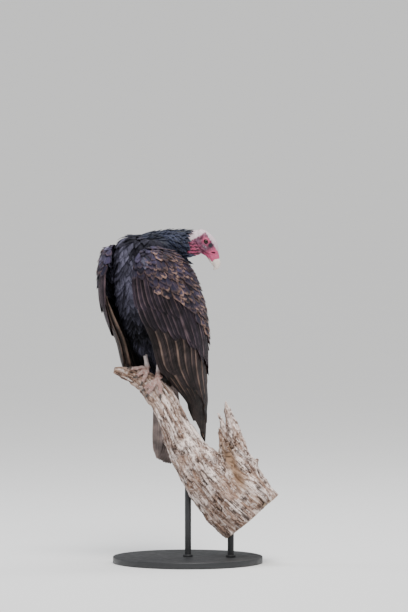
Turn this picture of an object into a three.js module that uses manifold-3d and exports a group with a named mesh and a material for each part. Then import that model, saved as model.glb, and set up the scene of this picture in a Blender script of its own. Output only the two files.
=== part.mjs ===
// A turkey vulture, life size, hunched on the broken end of a dead branch and looking over its left
// shoulder, held by a plain display stand. Millimetres, +Z up. The origin is the centre of the
// underside of the stand's base. The bird's breast faces -Y and its left side is towards +X.
import * as THREE from "three";
import { mergeVertices } from "three/addons/utils/BufferGeometryUtils.js";
import Module from "manifold-3d";

const wasm = await Module();
wasm.setup();

const { degToRad, lerp, clamp } = THREE.MathUtils;
const vec = (x, y, z) => new THREE.Vector3(x, y, z);

// ---- Driving dimensions ----
const gap = 0.35; // left between pieces that meet
const stand = { radius: 165, thick: 14, bevel: 2, rodRadius: 7 };
const birdPlace = { x: -76, y: -44 }; // where the bird's own upright axis meets the base
const branchTurn = degToRad(35); // the branch runs this far round from the bird's left-right line
const billDip = degToRad(60); // the bill points this far below the horizontal
const skullLength = 22; // eye to back of the head
const billReach = 63; // eye to bill tip
const eyeRadius = 6.3;
const nostrilSize = { length: 9, height: 3.4, depth: 4, turn: degToRad(52) };
const tailLength = 258;
const tailHalfWidth = 40;
const tarsusRadius = 5.2;
const toeRadius = 4.4;
const toeLength = 44;
const clawLength = 16;

// ---- Placing ----
// A point s along the branch's heading, d behind it and z up. The neck and head turn the same way.
const along = (s, d, z) =>
  vec(
    s * Math.cos(branchTurn) - d * Math.sin(branchTurn),
    s * Math.sin(branchTurn) + d * Math.cos(branchTurn),
    z,
  );
const lineOf = (points) =>
  new THREE.CatmullRomCurve3(points.map(([s, d, z]) => along(s, d, z)), false, "centripetal");
const heading = along(1, 0, 0);
const behind = along(0, 1, 0);
const up = vec(0, 0, 1);

// ---- Solids ----
function solidOf(geometry) {
  const bare = geometry.clone();
  bare.deleteAttribute("normal");
  bare.deleteAttribute("uv");
  const merged = mergeVertices(bare, 1e-3);
  const mesh = (triVerts) =>
    new wasm.Manifold(
      new wasm.Mesh({ numProp: 3, vertProperties: merged.attributes.position.array, triVerts }),
    );
  const made = mesh(new Uint32Array(merged.index.array));
  return made.volume() > 0 ? made : mesh(new Uint32Array(merged.index.array).reverse());
}

function geometryOf(solid) {
  const mesh = solid.getMesh();
  const place = new Float32Array(mesh.numVert * 3);
  for (let i = 0; i < mesh.numVert; i++)
    place.set(mesh.vertProperties.subarray(i * mesh.numProp, i * mesh.numProp + 3), i * 3);
  const geometry = new THREE.BufferGeometry()
    .setAttribute("position", new THREE.BufferAttribute(place, 3))
    .setIndex(new THREE.BufferAttribute(mesh.triVerts, 1));
  geometry.computeVertexNormals();
  return geometry;
}

// The one body that counts, where a cut leaves slivers beside it.
const largest = (solid) =>
  solid.decompose().reduce((most, body) => (body.volume() > most.volume() ? body : most));
const joined = (solids) => solids.reduce((whole, one) => whole.add(one));
const cutBy = (solid, tools) => largest(tools.reduce((left, tool) => left.subtract(tool), solid));

// A smooth value through stations [t, a, b, ...], one for each column.
function through(stations, t) {
  let i = stations.findIndex((s) => s[0] >= t);
  if (i < 1) return stations.at(i === 0 ? 0 : -1).slice(1);
  const [a, b] = [stations[i - 1], stations[i]];
  const before = stations[Math.max(i - 2, 0)];
  const after = stations[Math.min(i + 1, stations.length - 1)];
  const span = b[0] - a[0];
  const u = (t - a[0]) / span;
  return b.slice(1).map((end, k) => {
    const start = a[k + 1];
    const slopeIn = ((end - before[k + 1]) / Math.max(b[0] - before[0], 1e-6)) * span;
    const slopeOut = ((after[k + 1] - start) / Math.max(after[0] - a[0], 1e-6)) * span;
    const ease = 3 * u ** 2 - 2 * u ** 3;
    const lean = (u ** 3 - 2 * u ** 2 + u) * slopeIn + (u ** 3 - u ** 2) * slopeOut;
    return start * (1 - ease) + end * ease + lean;
  });
}

// A closed cylinder whose every point is moved: place(t, x, y), with t along it and (x, y) on the
// unit circle, or at its centre in the middle of each end.
function moulded(around, steps, place) {
  const geometry = new THREE.CylinderGeometry(1, 1, 1, around, steps);
  const at = geometry.attributes.position;
  for (let i = 0; i < at.count; i++) {
    const p = place(0.5 - at.getY(i), at.getX(i), at.getZ(i));
    at.setXYZ(i, p.x, p.y, p.z);
  }
  return solidOf(geometry);
}

// A body swept through points. Stations hold [t, half width, height above, height below the line].
function swept(points, stations, options) {
  const { side = vec(1, 0, 0), around = 20, steps = 24, grow = 0, blunt = 1 } = options;
  const line = new THREE.CatmullRomCurve3(points, false, "centripetal");
  return moulded(around, steps, (t, x, y) => {
    const [width, above, below] = through(stations, t).map((r) => Math.max(r, 0.2) + grow);
    const tangent = line.getTangent(t);
    const lateral = side.clone().addScaledVector(tangent, -side.dot(tangent)).normalize();
    const upward = tangent.clone().cross(lateral);
    const square = (v) => Math.sign(v) * Math.abs(v) ** blunt;
    const push = grow * (t === 0 ? -1 : t === 1 ? 1 : 0);
    return line
      .getPoint(t)
      .addScaledVector(lateral, square(x) * width)
      .addScaledVector(upward, square(y) * (y > 0 ? above : below))
      .addScaledVector(tangent, push);
  });
}

// ---- Trunk: the feathered body from the hunched mantle down to the vent ----
function trunk(grow = 0) {
  const spine = [
    vec(0, -2, 722), vec(0, 0, 680), vec(0, 10, 605), vec(0, 20, 530), vec(0, 38, 450), vec(0, 64, 384),
  ];
  const girth = [
    // t, half width, towards the breast, towards the back
    [0, 36, 34, 34],
    [0.04, 60, 58, 58],
    [0.12, 72, 76, 78],
    [0.25, 78, 82, 92],
    [0.48, 78, 84, 97],
    [0.66, 68, 58, 88],
    [0.82, 50, 24, 64],
    [0.93, 37, 12, 36],
    [1, 24, 6, 12],
  ];
  return swept(spine, girth, { around: 18, steps: 14, grow, blunt: 0.92 });
}

// ---- Neck: the dark collar of feathers, turned to the bird's left ----
const collarEnd = along(93, -12, 696);
function neck(grow = 0) {
  const line = [along(-34, 0, 680), along(8, 4, 688), along(50, -4, 697), collarEnd];
  const girth = [
    [0, 40, 42, 42],
    [0.3, 43, 44, 45],
    [0.6, 39, 37, 42],
    [0.88, 33, 36, 38],
    [0.97, 30, 35, 36],
    [1, 25, 30, 30],
  ];
  return swept(line, girth, { side: behind, around: 18, steps: 11, grow });
}

// ---- Head, in a frame of its own: +X to the bill, +Y to its left, +Z to the crown, eye level at 0 ----
const headPlace = along(126.5, -12, 708);
const toBill = heading.clone().multiplyScalar(Math.cos(billDip)).addScaledVector(up, -Math.sin(billDip));
const toCrown = heading.clone().multiplyScalar(Math.sin(billDip)).addScaledVector(up, Math.cos(billDip));
const headMatrix = new THREE.Matrix4().makeBasis(toBill, behind, toCrown).setPosition(headPlace);
const inHead = (solid) => solid.transform(headMatrix.toArray());

// The skull and the long cere, bare skin as far as the horny tip.
function skull() {
  const line = [
    vec(-skullLength, 0, -12), vec(-16, 0, -6), vec(0, 0, -1), vec(20, 0, 0), vec(34, 0, -1.5), vec(47, 0, -3),
  ];
  const form = [
    [0, 5, 4, 6],
    [0.06, 12, 10, 12],
    [0.2, 17.5, 18, 17.5],
    [0.36, 18, 18.5, 20],
    [0.52, 15.5, 20, 21],
    [0.6, 13, 20.5, 19.8],
    [0.66, 11, 18.6, 18],
    [0.74, 9.6, 14.6, 15.8],
    [0.82, 8.6, 12.9, 14],
    [0.94, 7.6, 11.3, 12.4],
    [1, 7.2, 10.6, 11.8],
  ];
  return swept(line, form, { side: vec(0, -1, 0), around: 14, steps: 10, blunt: 0.95 });
}

// The bare throat and nape, from under the skull back into the collar.
function nape() {
  const line = [vec(-2, 0, -2), vec(-10, 0, -16), vec(-20, 0, -34), vec(-34, 0, -58)];
  const form = [
    // t, half width, towards the throat, towards the nape
    [0, 12, 14, 17],
    [0.2, 17, 29, 22.5],
    [0.5, 18, 31, 24],
    [0.75, 18, 32, 24],
    [1, 18, 31, 22],
  ];
  return swept(line, form, { side: vec(0, 1, 0), around: 12, steps: 5 });
}

const eyePlace = (side) => vec(0, side * (17.2 - eyeRadius * 0.62), 1);
function eye(side, grow = 0) {
  const ball = new THREE.SphereGeometry(eyeRadius + grow, 10, 8);
  ball.translate(...eyePlace(side));
  return solidOf(ball);
}

// The nostril, an oval pit in each side of the cere.
function nostril(side) {
  const { length, height, depth, turn } = nostrilSize;
  const pit = new THREE.CylinderGeometry(1, 1, 20, 8).scale(length / 2, 1, height / 2);
  return solidOf(pit.rotateY(-turn).translate(30, side * (10 + 9.6 - depth), 3));
}

// The hooked horny tip of the upper bill.
function billTip(grow = 0) {
  const hook = vec(billReach, 0, -15.5);
  const line = [vec(37, 0, -1.5), vec(46, 0, -2.5), vec(54, 0, -4), vec(60, 0, -8.5), hook];
  const form = [
    [0, 6.8, 10, 9],
    [0.25, 7.4, 10.6, 9.8],
    [0.5, 6.6, 9.6, 9.6],
    [0.72, 4.8, 6.6, 7.2],
    [0.9, 2.4, 3, 3.6],
    [1, 0.8, 0.9, 0.9],
  ];
  return swept(line, form, { side: vec(0, -1, 0), around: 10, steps: 9, grow });
}

// The shorter lower bill, closed under the upper one.
function billUnder(grow = 0) {
  const line = [vec(14, 0, -11.5), vec(28, 0, -11.2), vec(42, 0, -11), vec(52.5, 0, -12)];
  const form = [
    [0, 6, 3, 3],
    [0.4, 5.6, 2.6, 3.4],
    [0.8, 4.6, 2.2, 3],
    [1, 2.2, 1, 1.2],
  ];
  return swept(line, form, { side: vec(0, -1, 0), around: 8, steps: 6, grow });
}

// ---- Wings, hung like a cloak from the wrist at the breast to the tips over the tail ----
const wingFront = [
  vec(46, -62, 704), vec(40, -92, 694), vec(38, -116, 654), vec(40, -115, 590), vec(42, -96, 545),
  vec(44, -56, 486), vec(46, -28, 424), vec(48, 18, 386), vec(51, 68, 350), vec(52, 98, 326),
];
const wingBack = [
  vec(62, -38, 704), vec(74, 8, 684), vec(70, 64, 648), vec(64, 98, 606), vec(57, 126, 550),
  vec(51, 142, 490), vec(48, 146, 430), vec(50, 149, 370), vec(52, 140, 330), vec(53, 130, 316),
];
const wingForm = [
  // t, outward bulge, half thickness
  [0, 2, 5],
  [0.08, 14, 12],
  [0.22, 33, 15],
  [0.42, 48, 14],
  [0.6, 47, 11],
  [0.8, 30, 7],
  [0.94, 9, 4],
  [1, 2, 2],
];
function wing(side) {
  const front = new THREE.CatmullRomCurve3(wingFront, false, "centripetal");
  const back = new THREE.CatmullRomCurve3(wingBack, false, "centripetal");
  return moulded(16, 18, (t, x, y) => {
    const [bulge, thick] = through(wingForm, t);
    const [a, b] = [front.getPoint(t), back.getPoint(t)];
    const across = (1 - x) / 2; // 0 at the front edge, 1 at the back
    const chord = b.clone().sub(a);
    const outward = chord.clone().cross(up).normalize();
    const round = Math.sin(Math.PI * clamp(across, 0, 1) ** 1.15) ** 0.6;
    const p = a.addScaledVector(chord, across).addScaledVector(outward, bulge * round + thick * y);
    p.x *= side;
    return p;
  });
}

// A half space below a tilted plane, as a large box: the knife that parts the wing.
function below(point, normal) {
  const size = 900;
  const box = solidOf(new THREE.BoxGeometry(size, size, size).translate(0, 0, -size / 2));
  const turn = new THREE.Quaternion().setFromUnitVectors(up, normal.clone().normalize());
  return box.transform(new THREE.Matrix4().compose(point, turn, vec(1, 1, 1)).toArray());
}

// One long feather as a thin blade with a rounded tip, hanging from its root at the origin down -Z.
function blade(length, halfWidth, halfThick) {
  const form = [
    [0, 0.55, 1],
    [0.3, 0.85, 1],
    [0.8, 1, 0.8],
    [0.96, 0.86, 0.6],
    [1, 0.46, 0.5],
  ];
  return moulded(6, 4, (t, x, y) => {
    const [width, thick] = through(form, 1 - (1 - t) ** 1.5);
    return vec(x * width * halfWidth, y * thick * halfThick, -(1 - (1 - t) ** 1.5) * length);
  });
}

// The longest flight feathers step out past one another at each wing tip.
const wingTips = { lengths: [124, 146, 148, 132], halfWidth: 13.5, halfThick: 1.8 };
function wingTip(side) {
  return joined(wingTips.lengths.map((length, i) => {
    const share = i / (wingTips.lengths.length - 1);
    const step = new THREE.Matrix4()
      .makeTranslation(side * lerp(48, 55, share), lerp(72, 132, share), lerp(398, 404, share))
      .multiply(new THREE.Matrix4().makeRotationX(degToRad(lerp(11, 1, share))))
      .multiply(new THREE.Matrix4().makeRotationZ(side * degToRad(78)));
    return blade(length, wingTips.halfWidth, wingTips.halfThick).transform(step.toArray());
  }));
}

// ---- Tail: a fan of blades that overlap like closed fingers ----
const tailRoot = vec(0, 66, 472);
const tailTip = vec(1, 80, 472 - tailLength);
function tail() {
  const blades = [];
  const count = 6;
  for (let i = 0; i < count; i++) {
    const share = (2 * i) / (count - 1) - 1;
    const spread = Math.asin((share * (tailHalfWidth - 11)) / tailLength);
    const lay = new THREE.Matrix4()
      .makeTranslation(tailRoot.x + share * 14, tailRoot.y + 2.4 * (1 - Math.abs(share)), tailRoot.z)
      .multiply(new THREE.Matrix4().makeRotationX(Math.atan2(tailTip.y - tailRoot.y, tailLength)))
      .multiply(new THREE.Matrix4().makeRotationY(-spread - Math.atan2(tailTip.x, tailLength)));
    blades.push(blade(tailLength - 9 * share * share, 15, 2.6).transform(lay.toArray()));
  }
  return joined(blades);
}

// ---- Legs ----
// Each foot stands on the branch at its seat: how far along, and the turn about it from its top.
// Each toe reaches [further along, further round] from there; the last one is the hind toe.
const feet = [
  {
    name: "left", thigh: vec(34, 12, 520), ankle: vec(25, 8, 462), seat: [0.345, -42],
    toes: [[-0.022, -72], [0.03, -76], [0.1, -38], [0.01, 62]],
  },
  {
    name: "right", thigh: vec(-30, 14, 520), ankle: vec(-15, 6, 474), seat: [0.262, -4],
    toes: [[-0.105, -34], [-0.05, -76], [0.006, -92], [0.005, 66]],
  },
];
// A point on the branch's bark: u along it, angle round from its top towards the back, lift above it.
function onBranch(u, angle, lift) {
  const line = lineOf(branchLine);
  const tangent = line.getTangent(u);
  const lateral = behind.clone().addScaledVector(tangent, -behind.dot(tangent)).normalize();
  const upward = lateral.clone().cross(tangent).negate();
  const radius = through(branchLine.map((p, i) => [i / (branchLine.length - 1), p[3]]), u)[0] + lift;
  const a = degToRad(angle);
  return line.getPoint(u)
    .addScaledVector(upward, Math.cos(a) * radius)
    .addScaledVector(lateral, Math.sin(a) * radius);
}
const footSeat = (foot) => onBranch(foot.seat[0], foot.seat[1], 9);
const onToe = (foot, toe, share, lift) =>
  onBranch(foot.seat[0] + toe[0] * share, foot.seat[1] + toe[1] * share, lift);

function thigh(foot, grow = 0) {
  const form = [
    [0, 34, 34, 34],
    [0.45, 29, 29, 30],
    [0.8, 19, 20, 20],
    [1, 9, 9, 9],
  ];
  const knee = foot.ankle.clone().lerp(foot.thigh, 0.35);
  const end = foot.ankle.clone().lerp(footSeat(foot), 0.42);
  return swept([foot.thigh, knee, end], form, { around: 14, steps: 6, grow });
}

function shank(foot, grow = 0) {
  const form = [
    [0, tarsusRadius, 6, 6],
    [0.5, tarsusRadius + 1, 6, 6],
    [0.85, tarsusRadius, 5, 5],
    [1, 8, 8, 8],
  ];
  return swept([foot.thigh, foot.ankle, footSeat(foot)], form, { around: 8, steps: 7, grow });
}

function toeSolid(foot, toe, grow = 0) {
  const lifts = [8, 8, 5, 4.5];
  const path = lifts.map((lift, i) => onToe(foot, toe, i / (lifts.length - 1), lift));
  const form = [
    [0, 5.4, 5, 5],
    [0.35, toeRadius, 4.2, 4.2],
    [0.5, toeRadius + 0.6, 4.8, 4.4],
    [0.8, toeRadius - 0.4, 4, 3.6],
    [1, 2.8, 3, 2.8],
  ];
  return swept(path, form, { side: heading, around: 6, steps: 4, grow });
}

function claw(foot, toe) {
  const reach = clawLength / toeLength;
  const lifts = [5, 8.5, 2];
  const path = lifts.map((lift, i) => onToe(foot, toe, 0.93 + (reach * i) / 2, lift));
  const form = [
    [0, 2.2, 2.4, 2.4],
    [0.5, 1.7, 2, 2],
    [1, 0.5, 0.5, 0.5],
  ];
  return swept(path, form, { side: heading, around: 5, steps: 3 });
}

// ---- Perch: the broken end of a dead branch ----
// A tapering limb through points [s, d, z, radius], with a slow wander in its girth.
function limb(points, { around = 16, steps = 14, grow = 0, wander = 0.08, phase = 0 } = {}) {
  const line = lineOf(points);
  const girth = points.map((p, i) => [i / (points.length - 1), p[3]]);
  return moulded(around, steps, (t, x, y) => {
    const tangent = line.getTangent(t);
    const lateral = behind.clone().addScaledVector(tangent, -behind.dot(tangent)).normalize();
    const upward = tangent.clone().cross(lateral);
    const angle = Math.atan2(y, x);
    const wave = Math.sin(3 * angle + 7 * t + phase) + 0.6 * Math.sin(5 * angle - 9 * t + phase);
    const ripple = 1 + wander * wave;
    const radius = (through(girth, t)[0] + grow) * ripple;
    return line.getPoint(t).addScaledVector(lateral, x * radius).addScaledVector(upward, y * radius);
  });
}

const branchLine = [
  [-75, -12, 425, 7], [-58, -11, 421, 11], [-32, -8, 412, 15], [-6, -4, 398, 22], [17, -5, 376, 27],
  [35, -9, 350, 28], [54, -14, 312, 30], [81, -20, 257, 37], [118, -26, 202, 45], [170, -30, 142, 54],
  [262, -32, 62, 56],
];
const logLine = [
  [176, -26, 250, 22], [188, -28, 218, 40], [204, -30, 182, 47], [226, -32, 142, 54], [270, -32, 80, 60],
];
const spikes = [
  // each splinter of the torn stump from its foot to its point
  [[192, -30, 200, 36], [194, -26, 240, 26], [186, -22, 296, 13], [176, -20, 334, 6], [170, -20, 357, 2]],
  [[176, -44, 200, 26], [168, -48, 236, 14], [162, -48, 266, 7], [157, -46, 300, 2]],
  [[184, -8, 210, 24], [172, -14, 266, 9], [162, -14, 308, 5], [154, -14, 331, 2]],
  [[206, -24, 190, 36], [224, -22, 212, 15], [236, -22, 224, 7], [243, -22, 230, 2.5]],
];
const knot = [[104, -40, 232, 18], [124, -48, 236, 22], [148, -44, 232, 18]];
const sawCut = { at: along(230, -34, 104), normal: along(0.646, 0, -0.763) };

function perch(grow = 0) {
  const wood = joined([
    limb(branchLine, { steps: 18, around: 12, grow }),
    limb(logLine, { around: 12, steps: 7, grow, wander: 0.06, phase: 1 }),
    limb(knot, { around: 8, steps: 4, grow, wander: 0.12 }),
    ...spikes.map((points, i) => limb(points, { around: 6, steps: 5, grow, wander: 0.1, phase: i })),
  ]);
  return largest(wood.subtract(below(sawCut.at, sawCut.normal.clone().negate())));
}

// ---- Stand ----
function standBase() {
  const disc = new THREE.Shape().absarc(0, 0, stand.radius - stand.bevel, 0, 2 * Math.PI);
  const plate = new THREE.ExtrudeGeometry(disc, {
    depth: stand.thick - 2 * stand.bevel, curveSegments: 14, bevelEnabled: true,
    bevelThickness: stand.bevel, bevelSize: stand.bevel, bevelSegments: 1,
  });
  return solidOf(plate.translate(0, 0, stand.bevel));
}
function standRod(s, d, top) {
  const foot = along(s, d, 0);
  const height = top - stand.thick - gap;
  const rod = new THREE.CylinderGeometry(stand.rodRadius, stand.rodRadius, height, 20).rotateX(Math.PI / 2);
  return solidOf(rod.translate(foot.x, foot.y, stand.thick + gap + height / 2));
}

// ---- Assembly ----
const finishes = {
  // colour, roughness
  blackFeather: [0x1d1d24, 0.6],
  brownFeather: [0x4a3d3f, 0.7],
  redSkin: [0xb0566a, 0.55],
  paleSkin: [0xb99c95, 0.7],
  ivory: [0xe6d8cb, 0.35],
  horn: [0x4a443f, 0.5],
  eye: [0x1a120e, 0.1],
  wood: [0xb8a397, 0.85],
  steel: [0x22242a, 0.45],
};
const object = new THREE.Group();
const bird = new THREE.Group();
bird.position.set(birdPlace.x, birdPlace.y, 0);
object.add(bird);

function show(name, solid, finish, group = bird) {
  const [color, roughness] = finishes[finish];
  const material = new THREE.MeshStandardMaterial({ color, roughness, metalness: 0 });
  const mesh = new THREE.Mesh(geometryOf(solid), material);
  mesh.name = name;
  group.add(mesh);
}

const trunkWide = trunk(gap);
const neckWide = neck(gap);
const perchWide = perch(gap);

show("trunk", trunk(), "blackFeather");
const neckOnly = cutBy(neck(), [trunkWide]);
show("neck", neckOnly, "blackFeather");

const eyes = [1, -1].map((side) => inHead(eye(side)));
const eyesWide = [1, -1].map((side) => inHead(eye(side, gap)));
const head = inHead(skull().add(nape()).subtract(nostril(1)).subtract(nostril(-1)));
const hornWide = [inHead(billTip(gap)), inHead(billUnder(gap))];
show("head", cutBy(head, [neckWide, trunkWide, ...eyesWide, ...hornWide]), "redSkin");
show("bill_upper", inHead(billTip()), "ivory");
show("bill_lower", cutBy(inHead(billUnder()), [hornWide[0]]), "ivory");
show("eye_left", eyes[0], "eye");
show("eye_right", eyes[1], "eye");

const covertEdge = { front: vec(58, -90, 526), back: vec(60, 138, 430) };
const primaryEdge = { front: vec(56, -36, 424), back: vec(54, 144, 376) };
const tailOnly = cutBy(tail(), [trunkWide, perchWide]);
for (const [name, side] of [["left", 1], ["right", -1]]) {
  const knife = (edge, lift) => {
    const run = edge.back.clone().sub(edge.front);
    return below(vec(0, edge.front.y, edge.front.z + lift), vec(0, -run.z, run.y));
  };
  const whole = cutBy(wing(side), [trunkWide, neckWide, perchWide]);
  const arm = whole.subtract(knife(covertEdge, gap));
  const rest = whole.intersect(knife(covertEdge, 0));
  show(`wing_${name}_coverts`, largest(arm), "brownFeather");
  show(`wing_${name}_secondaries`, largest(rest.subtract(knife(primaryEdge, gap))), "brownFeather");
  const tip = largest(rest.add(wingTip(side)).intersect(knife(primaryEdge, 0)));
  show(`wing_${name}_primaries`, cutBy(tip, [perchWide]), "brownFeather");
}
show("tail", tailOnly, "brownFeather");

for (const foot of feet) {
  show(`thigh_${foot.name}`, cutBy(thigh(foot), [trunkWide, perchWide]), "blackFeather");
  const shankOnly = cutBy(shank(foot), [trunkWide, perchWide, thigh(foot, gap)]);
  show(`shank_${foot.name}`, shankOnly, "paleSkin");
  const toeSolids = joined(foot.toes.map((toe) => toeSolid(foot, toe)));
  const above = [perchWide, trunkWide, shank(foot, gap), thigh(foot, gap)];
  show(`foot_${foot.name}`, cutBy(toeSolids, above), "paleSkin");
  const toesWide = joined(foot.toes.map((toe) => toeSolid(foot, toe, gap)));
  foot.toes.forEach((toe, i) =>
    show(`claw_${foot.name}_${i + 1}`, cutBy(claw(foot, toe), [perchWide, trunkWide, toesWide]), "horn"));
}

show("perch_branch", perch(), "wood");
show("stand_base", standBase(), "steel", object);
show("stand_rod_tall", cutBy(standRod(88, -20, 225), [perchWide]), "steel");
show("stand_rod_short", cutBy(standRod(182, -31, 120), [perchWide]), "steel");

export default object;
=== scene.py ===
import itertools
import random
from math import copysign, cos, pi, radians, sin

import bpy
import numpy as np
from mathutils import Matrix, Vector, noise
from mathutils.bvhtree import BVHTree


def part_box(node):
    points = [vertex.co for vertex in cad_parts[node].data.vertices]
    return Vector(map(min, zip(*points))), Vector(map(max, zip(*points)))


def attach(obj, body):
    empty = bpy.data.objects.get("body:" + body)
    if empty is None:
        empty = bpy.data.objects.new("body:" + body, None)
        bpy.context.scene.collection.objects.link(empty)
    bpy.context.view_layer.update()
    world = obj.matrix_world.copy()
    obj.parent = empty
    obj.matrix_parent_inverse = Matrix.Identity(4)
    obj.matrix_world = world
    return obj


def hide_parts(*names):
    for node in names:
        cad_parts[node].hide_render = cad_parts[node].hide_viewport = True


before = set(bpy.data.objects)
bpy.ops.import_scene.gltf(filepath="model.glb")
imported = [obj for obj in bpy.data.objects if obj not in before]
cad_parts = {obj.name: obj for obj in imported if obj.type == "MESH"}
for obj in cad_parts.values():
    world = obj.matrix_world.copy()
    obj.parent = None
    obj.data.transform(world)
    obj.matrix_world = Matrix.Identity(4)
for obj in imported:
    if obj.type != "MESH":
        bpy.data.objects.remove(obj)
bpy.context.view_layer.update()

random.seed(11)
rng = np.random.default_rng(11)
mm = 0.001


# small helpers: selecting, modifiers, moving points
def deselect():
    if bpy.context.object and bpy.context.object.mode != "OBJECT":
        bpy.ops.object.mode_set(mode="OBJECT")
    bpy.ops.object.select_all(action="DESELECT")


def activate(obj):
    deselect()
    obj.select_set(True)
    bpy.context.view_layer.objects.active = obj


def modify(obj, kind, **settings):
    modifier = obj.modifiers.new(kind.lower(), kind)
    for key, value in settings.items():
        setattr(modifier, key, value)
    activate(obj)
    bpy.ops.object.modifier_apply(modifier=modifier.name)
    return obj


def joinPieces(objs, name):
    activate(objs[0])
    for obj in objs[1:]:
        obj.select_set(True)
    bpy.ops.object.join()
    objs[0].name = name
    return objs[0]


def evenOut(obj, size, smooth):
    modify(obj, "REMESH", mode="VOXEL", voxel_size=size)
    return modify(obj, "SMOOTH", iterations=smooth, factor=0.5)


def faceOutward(obj, close=False):
    activate(obj)
    bpy.ops.object.mode_set(mode="EDIT")
    bpy.ops.mesh.select_all(action="SELECT")
    if close:
        bpy.ops.mesh.remove_doubles(threshold=1e-6)
        bpy.ops.mesh.fill_holes(sides=0)
    bpy.ops.mesh.normals_make_consistent(inside=False)
    deselect()


def pointsOf(obj, key="co"):
    flat = np.empty(len(obj.data.vertices) * 3, np.float32)
    obj.data.vertices.foreach_get(key, flat)
    return flat.reshape(-1, 3).astype(float)


def setPoints(obj, points):
    obj.data.vertices.foreach_set("co", points.astype(np.float32).ravel())
    obj.data.update()


def shadeSmooth(obj, angle=None):
    activate(obj)
    if angle is None:
        bpy.ops.object.shade_smooth()
    else:
        bpy.ops.object.shade_smooth_by_angle(angle=radians(angle))


def paint(obj, **values):
    for name, given in values.items():
        layer = obj.data.attributes.new(name, "FLOAT", "POINT")
        full = np.broadcast_to(given, len(obj.data.vertices))
        layer.data.foreach_set("value", np.asarray(full, np.float32))


def addObject(name, data, location=(0, 0, 0), aim=None):
    obj = bpy.data.objects.new(name, data)
    bpy.context.scene.collection.objects.link(obj)
    obj.location = location
    if aim is not None:
        obj.rotation_euler = aim.to_track_quat("Z", "Y").to_euler()
    return obj


def noiseAt(points, size, seed=0.0):
    shift = Vector((seed, seed * 1.7, -seed))
    return np.array([noise.noise(Vector(p) / size + shift) for p in points])


def ramp(low, high, value):
    share = np.clip((value - low) / (high - low), 0, 1)
    return share * share * (3 - 2 * share)


def hill(value, middle, spread):
    return ((value - middle) / spread) ** 2


def unit(vectors):
    return vectors / np.maximum(np.linalg.norm(vectors, axis=-1, keepdims=True), 1e-9)


def runAlong(path):
    # the distance run at each point of a path
    return np.concatenate(((0,), np.cumsum(np.linalg.norm(np.diff(path, axis=0), axis=1))))


def finishPiece(obj, material, nodes=()):
    obj.data.materials.clear()
    obj.data.materials.append(material)
    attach(obj, "root")
    if nodes:
        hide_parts(*nodes)


# places: the bird stands off the middle of its stand, and the branch runs 35 degrees round
branchTurn = radians(35)
birdPlace = np.array((-76.0, -44.0, 0.0))


def along(s, d, z):
    return np.array((s * cos(branchTurn) - d * sin(branchTurn), s * sin(branchTurn) + d * cos(branchTurn), z))


heading, behind, down = along(1, 0, 0), along(0, 1, 0), np.array((0, 0, -1.0))


def inRow(points):
    return (np.asarray(points) + birdPlace) * mm


def toBird(points):
    return points / mm - birdPlace


def smoothLine(points, count=360):
    # a centripetal curve through the points, as a table of even steps
    points = np.asarray(points, float)
    ends = np.vstack((2 * points[0] - points[1], points, 2 * points[-1] - points[-2]))
    table = []
    for t in np.linspace(0, len(points) - 1, count):
        i = min(int(t), len(points) - 2)
        u = t - i
        p = ends[i:i + 4]
        a, b, c = np.linalg.norm(np.diff(p, axis=0), axis=1) ** 0.5
        slopeIn = ((p[1] - p[0]) / a - (p[2] - p[0]) / (a + b) + (p[2] - p[1]) / b) * b
        slopeOut = ((p[2] - p[1]) / b - (p[3] - p[1]) / (b + c) + (p[3] - p[2]) / c) * b
        table.append(p[1] + slopeIn * u + (3 * (p[2] - p[1]) - 2 * slopeIn - slopeOut) * u ** 2
                     + (2 * (p[1] - p[2]) + slopeIn + slopeOut) * u ** 3)
    return np.array(table)


def onLine(table, t):
    steps = np.linspace(0, 1, len(table))
    return np.stack([np.interp(t, steps, table[:, k]) for k in range(3)], axis=-1)


def lineSlope(table, t):
    return unit(onLine(table, np.clip(t + 0.004, 0, 1)) - onLine(table, np.clip(t - 0.004, 0, 1)))


def squareTo(side, slope):
    # the two directions across a line, the first kept near the side asked for
    lateral = unit(side - slope * (slope @ side)[:, None])
    return lateral, np.cross(slope, lateral)


def eased(stations, t):
    # smooth values between stations [t, a, b, ...]
    table = np.asarray(stations, float)
    t = np.clip(np.asarray(t, float), table[0, 0], table[-1, 0])
    i = np.clip(np.searchsorted(table[:, 0], t), 1, len(table) - 1)
    a, b = table[i - 1], table[i]
    before, after = table[np.maximum(i - 2, 0)], table[np.minimum(i + 1, len(table) - 1)]
    span = (b[..., 0] - a[..., 0])[..., None]
    u = (t[..., None] - a[..., :1]) / span
    start, end = a[..., 1:], b[..., 1:]
    slopeIn = (end - before[..., 1:]) / np.maximum(b[..., :1] - before[..., :1], 1e-6) * span
    slopeOut = (after[..., 1:] - start) / np.maximum(after[..., :1] - a[..., :1], 1e-6) * span
    ease = 3 * u ** 2 - 2 * u ** 3
    lean = (u ** 3 - 2 * u ** 2 + u) * slopeIn + (u ** 3 - u ** 2) * slopeOut
    return start * (1 - ease) + end * ease + lean


def tube(name, place, around, steps):
    # a grid rolled into a closed tube
    deselect()
    bpy.ops.mesh.primitive_grid_add(x_subdivisions=around, y_subdivisions=steps, size=2)
    obj = bpy.context.object
    obj.name = name
    flat = pointsOf(obj)
    turn = pi * flat[:, 0]
    setPoints(obj, place((1 - flat[:, 1]) / 2, np.cos(turn), np.sin(turn)))
    faceOutward(obj, close=True)
    return obj


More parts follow.
